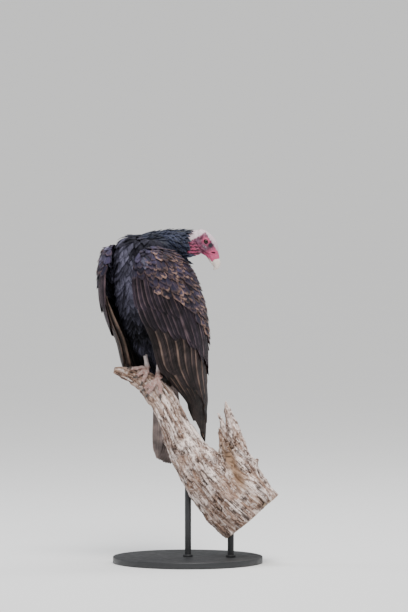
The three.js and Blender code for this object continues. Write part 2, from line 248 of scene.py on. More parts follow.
def swept(name, points, stations, side=(1, 0, 0), around=32, steps=32, grow=0.0, toRow=inRow):
    # a body swept through points; stations hold [t, half width, above, below]
    table = smoothLine(points)

    def place(t, x, y):
        size = np.maximum(eased(stations, t), 0.2) + grow
        slope = lineSlope(table, t)
        lateral, upward = squareTo(np.asarray(side, float), slope)
        push = grow * np.where(t < 1e-6, -1, np.where(t > 1 - 1e-6, 1, 0))
        reach = np.where(y > 0, size[:, 1], size[:, 2])
        return toRow(onLine(table, t) + lateral * (x * size[:, 0])[:, None]
                     + upward * (y * reach)[:, None] + slope * push[:, None])

    return tube(name, place, around, steps)


# camera, floor and light
shot = {"elevation": 3, "distance": 14, "height": 1.3464, "centre": (0.0249, 0.0267, 0.5654)}
tilt = radians(shot["elevation"])
toCamera = Vector(-behind * cos(tilt)) + Vector((0, 0, sin(tilt)))
lens = bpy.data.cameras.new("camera")
lens.sensor_width, lens.clip_start, lens.clip_end = 36, 1, 2000
lens.lens = lens.sensor_width * shot["distance"] / shot["height"]
cameraPlace = Vector(shot["centre"]) + toCamera * shot["distance"]
bpy.context.scene.camera = addObject("camera", lens, cameraPlace, toCamera)

deselect()
bpy.ops.mesh.primitive_plane_add(size=1600, location=(0, 0, -0.0004))
floor = bpy.context.object
floor.name = "floor"

lights = {
    # place, size, power, colour
    "keySoft": ((1.5, -2.0, 2.9), 1.1, 62, (1.0, 0.98, 0.95)),
    "topSoft": ((-0.2, 0.3, 3.2), 1.6, 58, (0.96, 0.98, 1.0)),
    "leftSoft": ((-2.6, -1.0, 1.5), 0.9, 20, (0.93, 0.96, 1.0)),
    "backSoft": ((0.9, 2.6, 2.2), 1.0, 20, (1.0, 0.99, 0.97)),
}
for name, (place, size, power, colour) in lights.items():
    lamp = bpy.data.lights.new(name, "AREA")
    lamp.shape, lamp.size, lamp.energy, lamp.color = "DISK", size, power, colour
    addObject(name, lamp, place, Vector(place) - Vector((0, 0, 0.5)))
sun = bpy.data.lights.new("daySoft", "SUN")
sun.energy, sun.angle, sun.color = 2.7, radians(24), (1.0, 0.985, 0.96)
addObject("daySoft", sun, aim=Vector((0.55, -0.5, 1.5)))

world = bpy.data.worlds.new("studio")
bpy.context.scene.world = world
world.use_nodes = True
world.node_tree.nodes["Background"].inputs["Color"].default_value = (0.86, 0.87, 0.88, 1)
world.node_tree.nodes["Background"].inputs["Strength"].default_value = 0.36
print("camera, floor and light are set")

# nodes for the materials: each helper adds to the tree in hand
hand = {"tree": None}


def feed(socket, value):
    if isinstance(value, bpy.types.NodeSocket):
        hand["tree"].links.new(value, socket)
    else:
        socket.default_value = (*value, 1) if isinstance(value, tuple) else value


def add(kind, inputs, output=0, **settings):
    node = hand["tree"].nodes.new("ShaderNode" + kind)
    for key, value in settings.items():
        setattr(node, key, value)
    for key, value in inputs.items():
        feed(node.inputs[key], value)
    return node.outputs[output]


def calc(operation, *values):
    return add("Math", dict(enumerate(values)), operation=operation)


def times(a, b):
    return calc("MULTIPLY", a, b)


def timesPlus(a, b, c):
    return calc("MULTIPLY_ADD", a, b, c)


def spread(value, low, high, toLow=0.0, toHigh=1.0):
    inputs = {"Value": value, "From Min": low, "From Max": high, "To Min": toLow, "To Max": toHigh}
    return add("MapRange", inputs, "Result", interpolation_type="SMOOTHSTEP")


def layered(base, *layers):
    # colours laid one over another, each by its mask
    for mask, colour in layers:
        base = add("Mix", {0: mask, 6: base, 7: colour}, 2, data_type="RGBA")
    return base


def noiseOf(vector, scale, detail=3.0, rough=0.5):
    return add("TexNoise", {"Vector": vector, "Scale": scale, "Detail": detail, "Roughness": rough}, "Fac")


def attribute(name, output="Fac"):
    return add("Attribute", {}, output, attribute_name=name)


def objectCoords():
    return add("TexCoord", {}, "Object")


def newMaterial(name):
    material = bpy.data.materials.new(name)
    material.use_nodes = True
    hand["tree"] = material.node_tree
    return material


def setShader(base, rough, specular, height=None, bump=0.0, depth=0.0, **more):
    inputs = hand["tree"].nodes["Principled BSDF"].inputs
    feed(inputs["Base Color"], base)
    feed(inputs["Roughness"], rough)
    feed(inputs["Specular IOR Level"], specular)
    if height is not None:
        feed(inputs["Normal"], add("Bump", {"Height": height, "Strength": bump, "Distance": depth}, "Normal"))
    for key, value in more.items():
        feed(inputs[key], value)


# one group for every feather: margin, barbs, shaft and streaks, from the vane's own map
barbLook = {"lines": 4200.0, "slant": -0.012, "streaks": 420.0}


def makeBarbGroup():
    group = bpy.data.node_groups.new("featherBarbs", "ShaderNodeTree")
    hand["tree"] = group
    split = group.nodes.new("ShaderNodeSeparateXYZ")
    feed(split.inputs[0], add("UVMap", {}, "UV", uv_map="vane"))
    x, v = split.outputs[0], split.outputs[1]
    across = calc("ABSOLUTE", timesPlus(x, 2.0, -1.0))
    tint = attribute("tint")
    # margin: nearness to the sides and the tip, made uneven
    wave = add("CombineXYZ", {0: times(x, 3.0), 1: times(v, 7.0), 2: times(tint, 37.0)})
    wander = noiseOf(wave, 1.0, 2.0)
    margin = calc("MAXIMUM", calc("POWER", across, 2.2), calc("POWER", v, 5.0))
    sides = times(calc("POWER", across, 2.6), spread(v, 1.0, 0.8, 0.5, 1.0))
    # barbs: fine lines that slant from the shaft to the margin, over the vane's own length in metres
    slant = timesPlus(across, barbLook["slant"], times(v, attribute("span")))
    line = calc("SINE", times(slant, barbLook["lines"]))
    # streaks: stretched noise along the same slant, unlike in each feather
    lay = add("CombineXYZ", {0: times(slant, barbLook["streaks"]), 1: times(x, 1.4), 2: times(tint, 91.0)})
    made = {
        "edge": timesPlus(wander, 0.9, calc("ADD", margin, -0.45)),
        "sides": timesPlus(wander, 0.5, calc("ADD", sides, -0.25)),
        "outer": timesPlus(wander, 0.12, calc("ADD", x, -0.06)),
        "shaft": spread(across, 0.09, 0.03),
        "barbs": timesPlus(line, 0.5, 0.5),
        "streak": noiseOf(lay, 1.0, 4.0, 0.6),
    }
    for name in made:
        group.interface.new_socket(name, in_out="OUTPUT", socket_type="NodeSocketFloat")
    out = group.nodes.new("NodeGroupOutput")
    for name, value in made.items():
        feed(out.inputs[name], value)
    return group


barbGroup = makeBarbGroup()


def featherMaterial(name, look):
    material = newMaterial(name)
    group = hand["tree"].nodes.new("ShaderNodeGroup")
    group.node_tree = barbGroup
    barb = group.outputs
    tint, margin = attribute("tint"), attribute("margin")
    streak = times(spread(barb["streak"], 0.3, 0.7), margin)
    edge = spread(barb["sides" if "webColour" in look else "edge"], look["edgeFrom"], look["edgeTo"])
    edge = times(times(edge, timesPlus(tint, look["edgeVary"], look["edge"])), margin)
    layers = [(attribute("tone"), look["light"]), (times(streak, look["streak"]), look["streakColour"]),
              (edge, look["edgeColour"])]
    if "webColour" in look:  # the outer web of a long feather is paler
        web = times(spread(barb["outer"], look["webFrom"], look["webTo"]), margin)
        layers.append((times(web, look["web"]), look["webColour"]))
    layers.append((times(barb["shaft"], look["shaft"]), look["shaftColour"]))
    base = layered(look["dark"], *layers)
    patch = noiseOf(objectCoords(), 38.0)
    vary = spread(patch, 0.3, 0.7, 1 - look["vary"], 1 + look["vary"])
    vary = times(vary, timesPlus(tint, 0.5, 0.75))
    base = add("VectorMath", {0: base, "Scale": vary}, operation="SCALE")
    rough = spread(barb["streak"], 0.2, 0.8, look["rough"] - 0.08, look["rough"] + 0.12)
    height = timesPlus(barb["shaft"], 0.8, timesPlus(barb["streak"], 0.6, times(barb["barbs"], 0.4)))
    setShader(base, rough, look["specular"], height, look["bump"], 0.0006, **{
        "Sheen Weight": look["sheen"], "Sheen Roughness": 0.5, "Sheen Tint": look["sheenTint"]})
    return material


# vanes
def makeVane(across, steps, form, thick=0.02, notch=0.0, tipArc=0.14):
    # a flat grid, shaped to a vane's outline and given its thickness; shaped small, and read back large
    small = 0.1
    deselect()
    bpy.ops.mesh.primitive_grid_add(x_subdivisions=across, y_subdivisions=steps, size=2)
    obj = bpy.context.object
    flat = pointsOf(obj)
    x, v = flat[:, 0].copy(), (flat[:, 1] + 1) / 2
    wobble = np.array([noise.noise(Vector((a * 1.7, b * 9.0, 3.1))) for a, b in zip(x, v)])
    flat[:, 0] = x * eased(form, v)[:, 0] * (1 + notch * wobble * (np.abs(x) > 0.9))
    flat[:, 1] = v - tipArc * np.abs(x) ** 2 * v ** 5
    flat[:, 2] = 0
    setPoints(obj, flat * small)
    modify(obj, "SOLIDIFY", thickness=thick * small, offset=0)
    made = pointsOf(obj) * 10
    faces = np.array([list(p.vertices) for p in obj.data.polygons])
    bpy.data.objects.remove(obj)
    return {"u": made[:, 0], "v": np.clip(made[:, 1], 0, 1.02), "layer": np.repeat((1.0, -1.0), len(x)),
            "faces": faces, "map": np.stack(((np.tile(x, 2) + 1) / 2, np.tile(v, 2)), axis=1),
            "rim": np.abs(np.tile(x, 2))}


roundForm = [[0, 0.30], [0.2, 0.78], [0.5, 1.0], [0.75, 0.98], [0.9, 0.82], [1, 0.52]]
softForm = [[0, 0.30], [0.2, 0.75], [0.5, 1.0], [0.75, 0.88], [0.9, 0.62], [1, 0.28]]
pointForm = [[0, 0.35], [0.2, 0.85], [0.5, 1.0], [0.75, 0.75], [0.92, 0.38], [1, 0.06]]
quillForm = [[0, 0.35], [0.1, 0.7], [0.4, 0.95], [0.85, 1.0], [0.95, 0.84], [1, 0.5]]
vanes = {
    "small": makeVane(4, 6, roundForm),
    "soft": makeVane(4, 6, softForm, notch=0.25, tipArc=0.16),
    "wisp": makeVane(2, 6, pointForm),
    "covert": makeVane(6, 8, roundForm, notch=0.12),
    "quill": makeVane(8, 30, quillForm, 0.012, notch=0.10, tipArc=0.045),
}
print("vanes:", {key: len(v["faces"]) for key, v in vanes.items()})

bakeMap = {"patch": 0.003, "cell": 0.0034}


def claimCell(taken, place):
    # the nearest free cell to the root's place on the skin's unwrap
    size = bakeMap["cell"]
    count = int(1 / size)
    i, j = (int(np.clip(c, 0, 0.999) * count) for c in place)
    for ring in range(60):
        for di, dj in itertools.product(range(-ring, ring + 1), repeat=2):
            cell = (i + di, j + dj)
            if max(abs(di), abs(dj)) == ring and cell not in taken and 0 <= min(cell) and max(cell) < count:
                taken.add(cell)
                return ((cell[0] + 0.5) * size, (cell[1] + 0.5) * size)
    return place


def buildCoat(name, batches, strips=False):
    # joins laid vanes to one mesh with its maps; a batch is (vane, points, places, values painted on)
    verts, loops, maps, bakes = [], [], [], []
    painted = {key: [] for key in ("tint", "tone", "span", "margin")}
    start, taken = 0, set()
    for vane, points, places, values in batches:
        count, size = points.shape[:2]
        corners = vane["map"][vane["faces"].reshape(-1)]
        verts.append(points.reshape(-1, 3))
        loops.append((vane["faces"][None] + start + np.arange(count)[:, None, None] * size).reshape(-1, 4))
        maps.append(np.tile(corners, (count, 1)))
        if strips:  # places are the low corner and size of each strip
            lay = np.array(places)[:, None, :2] + corners[None] * np.array(places)[:, None, 2:]
            # painted shade: the under side of a long feather is painted plain and dark, with little streak,
            # pale edge or pale web
            values = dict(values, margin=np.where(vane["layer"] < 0, 0.15, 1.0)[None])
        else:
            cells = np.array([claimCell(taken, p) for p in places])
            lay = cells[:, None, :] + (corners[None] - 0.5) * bakeMap["patch"]
        bakes.append(lay.reshape(-1, 2))
        for key, store in painted.items():
            value = np.asarray(values.get(key, 1.0), float)
            value = value if value.ndim == 2 else value.reshape(-1, 1)
            store.append(np.broadcast_to(value, (count, size)).ravel())
        start += count * size
    verts, loops = np.concatenate(verts), np.concatenate(loops)
    mesh = bpy.data.meshes.new(name)
    mesh.vertices.add(len(verts))
    mesh.loops.add(loops.size)
    mesh.polygons.add(len(loops))
    mesh.vertices.foreach_set("co", verts.astype(np.float32).ravel())
    mesh.loops.foreach_set("vertex_index", loops.ravel().astype(np.int32))
    mesh.polygons.foreach_set("loop_start", np.arange(0, loops.size, 4, dtype=np.int32))
    mesh.polygons.foreach_set("loop_total", np.full(len(loops), 4, np.int32))
    mesh.update(calc_edges=True)
    for key, values in (("OFBake", bakes), ("vane", maps)):
        layer = mesh.uv_layers.new(name=key)
        layer.data.foreach_set("uv", np.concatenate(values).astype(np.float32).ravel())
    obj = addObject(name, mesh)
    paint(obj, **{key: np.concatenate(store) for key, store in painted.items()})
    shadeSmooth(obj)
    print(f"{name}: {2 * len(loops)} triangles")
    return obj


# body: trunk, ruff, thighs
bodyShape = {
    "spine": [(0, -2, 722), (0, 0, 680), (0, 10, 605), (0, 20, 530), (0, 38, 450), (0, 64, 384)],
    "girth": [[0, 36, 34, 34], [0.04, 60, 58, 58], [0.12, 72, 76, 78], [0.25, 78, 82, 92],
              [0.48, 78, 84, 97], [0.66, 68, 58, 88], [0.82, 50, 24, 64], [0.93, 37, 12, 36], [1, 24, 6, 12]],
    "coat": 10,  # the skin lies this far inside the feathers
    "voxel": 0.0042,
}
ruffShape = {
    "line": [along(-34, 0, 680), along(8, 4, 688), along(50, -4, 699), along(93, -12, 699)],
    "girth": [[0, 40, 42, 42], [0.3, 43, 44, 45], [0.6, 39, 37, 42], [0.88, 33, 36, 38],
              [0.97, 30, 35, 36], [1, 25, 30, 30]],
    "coat": 6,
}
wingShape = {
    "front": [(46, -62, 704), (40, -92, 694), (38, -116, 654), (40, -115, 590), (42, -96, 545),
              (44, -56, 486), (46, -28, 424), (48, 18, 386), (51, 68, 350), (52, 88, 330),
              (52, 97, 304), (52, 101, 280), (53, 106, 252)],
    "back": [(62, -38, 704), (74, 8, 684), (70, 64, 648), (64, 98, 606), (57, 126, 550),
             (51, 142, 490), (48, 146, 430), (50, 149, 370), (52, 152, 342), (53, 153, 318),
             (54, 150, 296), (54, 148, 274), (54, 144, 252)],
    "form": [[0, 2, 5], [0.08, 14, 12], [0.22, 33, 15], [0.42, 48, 14], [0.6, 47, 11],
             [0.8, 30, 7], [0.94, 9, 4], [1, 2, 2], [1.34, 2, 2]],
    "steps": 9, "core": {"t": (0.05, 0.42), "s": (0.12, 0.88), "outerShare": 0.36, "thick": 5},
}
thighShape = {"girth": [[0, 34, 34, 34], [0.45, 29, 29, 30], [0.8, 19, 20, 20], [1, 9, 9, 9]], "coat": 6}
feetShape = {
    "left": {"thigh": (34, 12, 520), "ankle": (25, 8, 462), "seat": (0.345, -42),
             "toes": [(-0.022, -72), (0.03, -76), (0.1, -38), (0.01, 62)]},
    "right": {"thigh": (-30, 14, 520), "ankle": (-15, 6, 474), "seat": (0.262, -4),
              "toes": [(-0.105, -34), (-0.05, -76), (0.006, -92), (0.005, 66)]},
}
branchShape = {
    "line": [(-75, -12, 425, 7), (-58, -11, 421, 11), (-32, -8, 412, 15), (-6, -4, 398, 22),
             (17, -5, 376, 27), (35, -9, 350, 28), (54, -14, 312, 30), (81, -20, 257, 37),
             (118, -26, 202, 45), (170, -30, 142, 54), (262, -32, 62, 56)],
    "log": [(176, -26, 250, 22), (188, -28, 218, 40), (204, -30, 182, 47), (226, -32, 142, 54),
            (270, -32, 80, 60)],
    "spikes": [
        [(192, -30, 200, 36), (194, -26, 240, 26), (186, -22, 296, 13), (176, -20, 334, 6),
         (170, -20, 357, 2)],
        [(176, -44, 200, 26), (168, -48, 236, 14), (162, -48, 266, 7), (157, -46, 300, 2)],
        [(184, -8, 210, 24), (172, -14, 266, 9), (162, -14, 308, 5), (154, -14, 331, 2)],
        [(206, -24, 190, 36), (224, -22, 212, 15), (236, -22, 224, 7), (243, -22, 230, 2.5)],
    ],
    "knot": [(104, -40, 232, 18), (124, -48, 236, 22), (148, -44, 232, 18)],
    "cutAt": (230, -34, 104), "cutFace": (0.646, 0, -0.763),
}
branchTable = smoothLine([along(*p[:3]) for p in branchShape["line"]])
branchGirth = [[i / 10, p[3]] for i, p in enumerate(branchShape["line"])]


def onBranch(u, angle, lift):
    # a point on the bark: u along the branch, angle round from its top, lift above it
    u = np.atleast_1d(np.asarray(u, float))
    lateral, upward = squareTo(behind, lineSlope(branchTable, u))
    radius = eased(branchGirth, u)[:, 0] + lift
    off = upward * cos(radians(angle)) + lateral * sin(radians(angle))
    return (onLine(branchTable, u) + off * radius[:, None])[0]


def wingSheet(side, face, rows=134, cols=56):
    # one face of a wing as a net of points, evenly spaced across
    last = len(wingShape["front"]) - 1
    t = np.linspace(0, last / wingShape["steps"], rows)
    a, b = (onLine(smoothLine(wingShape[key], 600), t * wingShape["steps"] / last)
            for key in ("front", "back"))
    bulge, thick = eased(wingShape["form"], t).T
    across = (1 - np.cos(np.linspace(0, pi, 220))) / 2
    chord = b - a
    outward = unit(np.stack((chord[:, 1], -chord[:, 0], 0 * t), axis=1))
    arch = np.sin(pi * across ** 1.15) ** 0.6
    rise = bulge[:, None] * arch + face * thick[:, None] * np.sqrt(np.clip(1 - (1 - 2 * across) ** 2, 0, 1))
    net = a[:, None] + chord[:, None] * across[None, :, None] + outward[:, None] * rise[..., None]
    net[..., 0] *= side
    net = inRow(net)
    gaps = np.linalg.norm(np.diff(net, axis=1), axis=2)
    reach = np.concatenate((np.zeros((rows, 1)), np.cumsum(gaps, axis=1)), axis=1)
    even = np.empty((rows, cols, 3))
    for i, k in itertools.product(range(rows), range(3)):
        even[i, :, k] = np.interp(np.linspace(0, reach[i, -1], cols), reach[i], net[i, :, k])
    normal = unit(np.cross(np.gradient(even, axis=0), np.gradient(even, axis=1)))
    if normal[rows // 3, cols // 2] @ (outward[rows // 3] * (side, 1, 1) * face) < 0:
        normal = -normal
    run = np.linalg.norm(np.gradient(even[:, cols // 2], axis=0), axis=1)
    return {"net": even, "normal": normal, "width": reach[:, -1], "t": t, "thick": thick,
            "run": np.cumsum(run) - run[0]}


def onSheet(sheet, t, s, lift):
    rows, cols = sheet["net"].shape[:2]
    i = np.clip(t / sheet["t"][-1], 0, 1) * (rows - 1)
    j = np.clip(s, 0, 1) * (cols - 1)
    i0, j0 = np.minimum(i.astype(int), rows - 2), np.minimum(j.astype(int), cols - 2)
    fi, fj = (i - i0)[..., None], (j - j0)[..., None]

    def mixed(table):
        return (table[i0, j0] * (1 - fi) * (1 - fj) + table[i0 + 1, j0] * fi * (1 - fj)
                + table[i0, j0 + 1] * (1 - fi) * fj + table[i0 + 1, j0 + 1] * fi * fj)

    return mixed(sheet["net"]) + unit(mixed(sheet["normal"])) * np.asarray(lift)[..., None]


def wingCore(side):
    # the flesh of the wing: a slab along its middle, well inside the coverts
    core = wingShape["core"]
    deselect()
    bpy.ops.mesh.primitive_grid_add(x_subdivisions=26, y_subdivisions=44, size=2)
    obj = bpy.context.object
    flat = pointsOf(obj)
    t = core["t"][0] + (1 - flat[:, 1]) / 2 * (core["t"][1] - core["t"][0])
    s = core["s"][0] + (flat[:, 0] + 1) / 2 * (core["s"][1] - core["s"][0])
    outer, inner = (onSheet(wingSheet(side, face), t, s, 0 * t) for face in (1, -1))
    setPoints(obj, outer * core["outerShare"] + inner * (1 - core["outerShare"]))
    return modify(obj, "SOLIDIFY", thickness=core["thick"] * mm, offset=0)


def legLine(name):
    foot = feetShape[name]
    return np.array(foot["thigh"], float), np.array(foot["ankle"], float), onBranch(*foot["seat"], 9)


def legSolid(name):
    thigh, ankle, seat = legLine(name)
    path = [thigh, ankle + (thigh - ankle) * 0.35, ankle + (seat - ankle) * 0.42]
    return swept("thigh", path, thighShape["girth"], grow=-thighShape["coat"])


parts = [swept("trunk", bodyShape["spine"], bodyShape["girth"], grow=-bodyShape["coat"]),
         swept("neck", ruffShape["line"], ruffShape["girth"], side=behind, grow=-ruffShape["coat"]),
         wingCore(1), wingCore(-1)] + [legSolid(name) for name in feetShape]
bodySkin = evenOut(joinPieces(parts, "bodySkin"), bodyShape["voxel"], 6)
print("body skin:", len(bodySkin.data.polygons))


# feathers on the body
def scatter(points, spacing, keep):
    # picks points in a random order, none nearer than the spacing to another
    chosen, grid = [], {}
    for i in rng.permutation(np.flatnonzero(keep)):
        cell = (points[i] // spacing).astype(int)
        beside = (j for step in itertools.product((-1, 0, 1), repeat=3)
                  for j in grid.get(tuple(cell + step), ()))
        if not any(np.sum((points[j] - points[i]) ** 2) < spacing ** 2 for j in beside):
            chosen.append(i)
            grid.setdefault(tuple(cell), []).append(i)
    return np.array(chosen, int)


def layOnSkin(tree, roots, flowAt, vane, look):
    # each vane starts under the coat at its root and follows the skin along the flow
    steps, count = 6, len(roots)
    centre, lateral, outward = (np.zeros((count, steps, 3)) for _ in range(3))
    length = look["length"] * (1 + rng.uniform(-0.16, 0.16, count))
    for f in range(count):
        here = Vector(roots[f])
        yaw, roll = random.uniform(-1, 1) * look["yaw"], random.uniform(-1, 1) * look["roll"]
        lift = random.uniform(-1, 1) * look["liftVary"]
        course = None
        for k in range(steps):
            if course is None or not look.get("rim") or (np.array(near) - neckEnd) @ neckRun < -look["rim"]:
                near, normal, _, _ = tree.find_nearest(here)
            else:
                near = here  # past the rim the vane runs straight on
            flow = Vector(flowAt(near, normal))
            flow -= normal * flow.dot(normal)
            flow.normalize()
            flow = (flow + normal.cross(flow) * yaw).normalized()
            if course is not None:
                course -= normal * course.dot(normal)
                flow = (flow * look["follow"] + course.normalized() * (1 - look["follow"])).normalized()
            course = flow.copy()
            share = k / (steps - 1)
            rise = look["low"] + (look["high"] + lift - look["low"]) * share + look["flick"] * share ** 4
            centre[f, k] = near + normal * rise
            side = normal.cross(flow).normalized()
            tipped = (normal + side * roll).normalized()
            lateral[f, k] = side - tipped * side.dot(tipped)
            outward[f, k] = tipped
            here = Vector(near) + flow * (length[f] / (steps - 1))
    stations = np.linspace(0, 1, steps)
    weights = np.stack([np.interp(vane["v"], stations, np.eye(steps)[k]) for k in range(steps)], axis=1)
    width = look["width"] * (1 + rng.uniform(-0.15, 0.15, count))
    points = np.einsum("vk,fkc->fvc", weights, centre)
    points += np.einsum("vk,fkc->fvc", weights, lateral) * (vane["u"][None, :, None] * width[:, None, None])
    bend = -look["cup"] * vane["u"] ** 2 + vane["layer"] * look["thick"] * (1 - 0.8 * vane["rim"])
    points += np.einsum("vk,fkc->fvc", weights, outward) * bend[None, :, None]
    return points, length


ruffTable = inRow(smoothLine(ruffShape["line"]))
neckEnd, neckRun = ruffTable[-1], unit(ruffTable[-1] - ruffTable[-30])


def ruffShare(points):
    # how far along the neck each point lies, and what it lies off the neck's line
    run = ruffTable[-1] - ruffTable[0]
    share = (points - ruffTable[0]) @ unit(run) / np.linalg.norm(run)
    return share, points - onLine(ruffTable, np.clip(share, 0, 1))


def bodyPlace(points):
    # the skin unrolled round its spine: angle and height
    x, y, z = toBird(points).T
    return np.stack((0.5 + np.arctan2(x, -(y - 20)) / (2 * pi), 1 - (z - 330) / 420), axis=1)


def ruffPlace(points):
    share, off = ruffShare(points)
    return np.stack((0.5 + np.arctan2(off @ behind, off[:, 2]) / (2 * pi), np.clip(share, 0, 1)), axis=1)


def bodyFlow(point, normal):
    # down the body, turning back at the flanks and away from the neck on the shoulders
    local = toBird(np.array(point))
    away = np.array((local[0] * 0.006, 0.0 if local[1] < 20 else 0.25, -1.0))
    if local[2] > 610:
        away = away + np.array((local[0], local[1] - 10, 0)) / 90 * min(1, (local[2] - 610) / 60)
    return away


def ruffFlow(point, normal):
    # forward to the rim; the sides droop, the underside does not
    return heading * 0.8 + down * (0.62 if normal[2] > -0.3 else 0.15)


def hangFlow(point, normal):
    return np.array((0.0, 0.1, -1.0))


skinBvh = BVHTree.FromPolygons([v.co for v in bodySkin.data.vertices],
                               [list(p.vertices) for p in bodySkin.data.polygons])
skinPoints, skinNormals = pointsOf(bodySkin), pointsOf(bodySkin, "normal")
x, y, z = toBird(skinPoints).T
share, away = ruffShare(skinPoints)
away = np.linalg.norm(away, axis=1)
coatLimits = {
    # shares of the neck's length and metres from its line, then millimetres
    "ruff": (0.28, 0.046, 630), "ruffRoots": (0.12, 0.052, 650), "rim": 0.79, "rimTop": 0.05, "rimUnder": 0.14,
    "wingOut": 50, "wingOff": 86, "legs": (440, 520), "legsBack": 34, "back": 30,
}
(start, reach, foot), (rootStart, rootReach, rootFoot) = coatLimits["ruff"], coatLimits["ruffRoots"]
upright = skinNormals[:, 2]
onRuff = (share > start) & (away < reach) & (z > foot)
rim = coatLimits["rim"] + np.where(upright > 0, coatLimits["rimTop"], coatLimits["rimUnder"]) * upright
ruffRoots = (share > rootStart) & (away < rootReach) & (z > rootFoot) & (share < rim)
ruffRoots &= onRuff | (upright > 0.2)
spineBack = np.interp(z, [384, 450, 530, 605, 680], [64, 38, 20, 10, 0])
wingish = (np.abs(x) > coatLimits["wingOut"]) & (np.hypot(x, y - spineBack) > coatLimits["wingOff"])
onLegs = (z > coatLimits["legs"][0]) & (z < coatLimits["legs"][1]) & (y < coatLimits["legsBack"])
onTrunk = ~onRuff & ~wingish & ~onLegs
onBack = y > coatLimits["back"]

softLook = {"edgeFrom": 0.3, "edgeTo": 0.8, "streak": 0.4, "vary": 0.35, "bump": 0.6, "sheen": 0.0,
            "sheenTint": (0.9, 0.85, 0.9)}
bodyLooks = {
    "ruff": dict(softLook, dark=(0.002, 0.0025, 0.006), light=(0.010, 0.013, 0.030),
                 streakColour=(0.032, 0.040, 0.080), edgeFrom=0.35, edgeTo=0.9, edge=0.05, edgeVary=0.3,
                 edgeColour=(0.06, 0.07, 0.12), shaft=0.2, shaftColour=(0.006, 0.006, 0.010), rough=0.42,
                 specular=0.26, sheen=0.02, sheenTint=(0.6, 0.7, 1.0)),
    # the breast's light colour is a painted highlight, laid on by its tone
    "breast": dict(softLook, dark=(0.0010, 0.0010, 0.0014), light=(0.190, 0.182, 0.265), streak=0.45,
                   streakColour=(0.004, 0.004, 0.0055), edgeFrom=0.2, edgeTo=0.9, edge=0.05, edgeVary=0.2,
                   edgeColour=(0.12, 0.12, 0.16), shaft=0.2, shaftColour=(0.004, 0.004, 0.005), vary=0.5,
                   rough=0.7, specular=0.06),
    "back": dict(softLook, dark=(0.006, 0.005, 0.006), light=(0.024, 0.019, 0.021),
                 streakColour=(0.04, 0.032, 0.034), edge=0.45, edgeVary=0.5, edgeColour=(0.10, 0.068, 0.055),
                 shaft=0.4, shaftColour=(0.004, 0.003, 0.004), rough=0.52, specular=0.22, sheen=0.02),
}
bodyMaterials = {key: featherMaterial(key + "Feathers", look) for key, look in bodyLooks.items()}

smallLay = {"low": -0.001, "high": 0.0088, "cup": 0.0022, "thick": 0.0003, "follow": 0.6}
bodyCoats = {
    # spacing and vane sizes in metres
    "ruff": dict(smallLay, spacing=0.0052, vane="soft", length=0.038, width=0.0062, high=0.0078, cup=0.0014,
                 yaw=0.12, roll=0.12, liftVary=0.0008, follow=0.5, flick=0.0, rim=0.022),
    "breast": dict(smallLay, spacing=0.0072, vane="soft", length=0.042, width=0.0094, yaw=0.14, roll=0.16,
                   liftVary=0.0016, flick=0.001),
    "back": dict(smallLay, spacing=0.0092, vane="small", length=0.052, width=0.0125, yaw=0.1, roll=0.1,
                 liftVary=0.0014, flick=0.0005),
    "thigh": dict(smallLay, spacing=0.0062, vane="wisp", length=0.044, width=0.0048, high=0.0062, cup=0.001,
                  yaw=0.3, roll=0.3, liftVary=0.002, follow=0.5, flick=0.003),
}


def breastHighlightAndShade(local):
    # painted highlight: bluish grey high on the breast, where the top light falls, fading to near black on the
    # belly; painted shade makes the shoulders near black
    height = local[:, 2]
    shoulder = np.maximum(ramp(-48, -18, local @ heading) * ramp(684, 702, height), ramp(708, 724, height))
    tone = ramp(525, 655, height) ** 1.5 * (1 - 0.85 * shoulder)
    return np.clip(tone * rng.uniform(0.3, 1.1, len(local)), 0, 1)


def evenTone(local):
    return rng.uniform(0.1, 0.9, len(local))


def thighTone(local):
    # the thighs share the breast material; low tones give them little of its painted highlight
    return rng.uniform(0, 0.35, len(local))


for kind, material, keep, flowAt, placeOf, toneOf in (
        ("ruff", "ruff", ruffRoots, ruffFlow, ruffPlace, evenTone),
        ("breast", "breast", onTrunk & ~onBack, bodyFlow, bodyPlace, breastHighlightAndShade),
        ("back", "back", onTrunk & onBack, bodyFlow, bodyPlace, evenTone),
        ("thigh", "breast", onLegs & ~wingish, hangFlow, bodyPlace, thighTone)):
    look = bodyCoats[kind]
    roots = skinPoints[scatter(skinPoints, look["spacing"], keep)]
    points, length = layOnSkin(skinBvh, roots, flowAt, vanes[look["vane"]], look)
    values = {"tone": toneOf(toBird(roots)), "tint": rng.uniform(0, 1, len(roots)), "span": length}
    coat = buildCoat(f"{kind}_feathers", [(vanes[look["vane"]], points, placeOf(roots), values)])
    finishPiece(coat, bodyMaterials[material])

# wings
wingLook = dict(softLook, streak=0.5, edgeVary=0.6, vary=0.45, rough=0.5, bump=0.8)
wingLooks = {
    "covert": dict(wingLook, dark=(0.003, 0.003, 0.012), light=(0.047, 0.040, 0.082),
                   streakColour=(0.085, 0.056, 0.064), edgeFrom=0.24, edgeTo=0.5, edge=0.4,
                   edgeColour=(0.235, 0.145, 0.115), shaft=0.45, shaftColour=(0.004, 0.004, 0.005),
                   specular=0.2),
    "plain": dict(wingLook, dark=(0.0025, 0.0018, 0.004), light=(0.022, 0.015, 0.025),
                  streakColour=(0.038, 0.026, 0.034), edgeTo=0.7, edge=0.35, edgeColour=(0.18, 0.115, 0.105),
                  webColour=(0.085, 0.058, 0.068), webFrom=0.30, webTo=0.08, web=0.8, shaft=0.7,
                  shaftColour=(0.002, 0.002, 0.003), specular=0.14),
    "quill": dict(wingLook, dark=(0.002, 0.0015, 0.002), light=(0.015, 0.010, 0.011), streak=0.55,
                  streakColour=(0.045, 0.031, 0.030), edgeFrom=0.35, edgeTo=0.7, edge=0.5, edgeVary=0.5,
                  edgeColour=(0.20, 0.135, 0.10), webColour=(0.088, 0.060, 0.053), webFrom=0.22, webTo=0.05,
                  web=0.8, shaft=0.8, shaftColour=(0.0015, 0.001, 0.001), rough=0.48, specular=0.14,
                  bump=0.9),
}
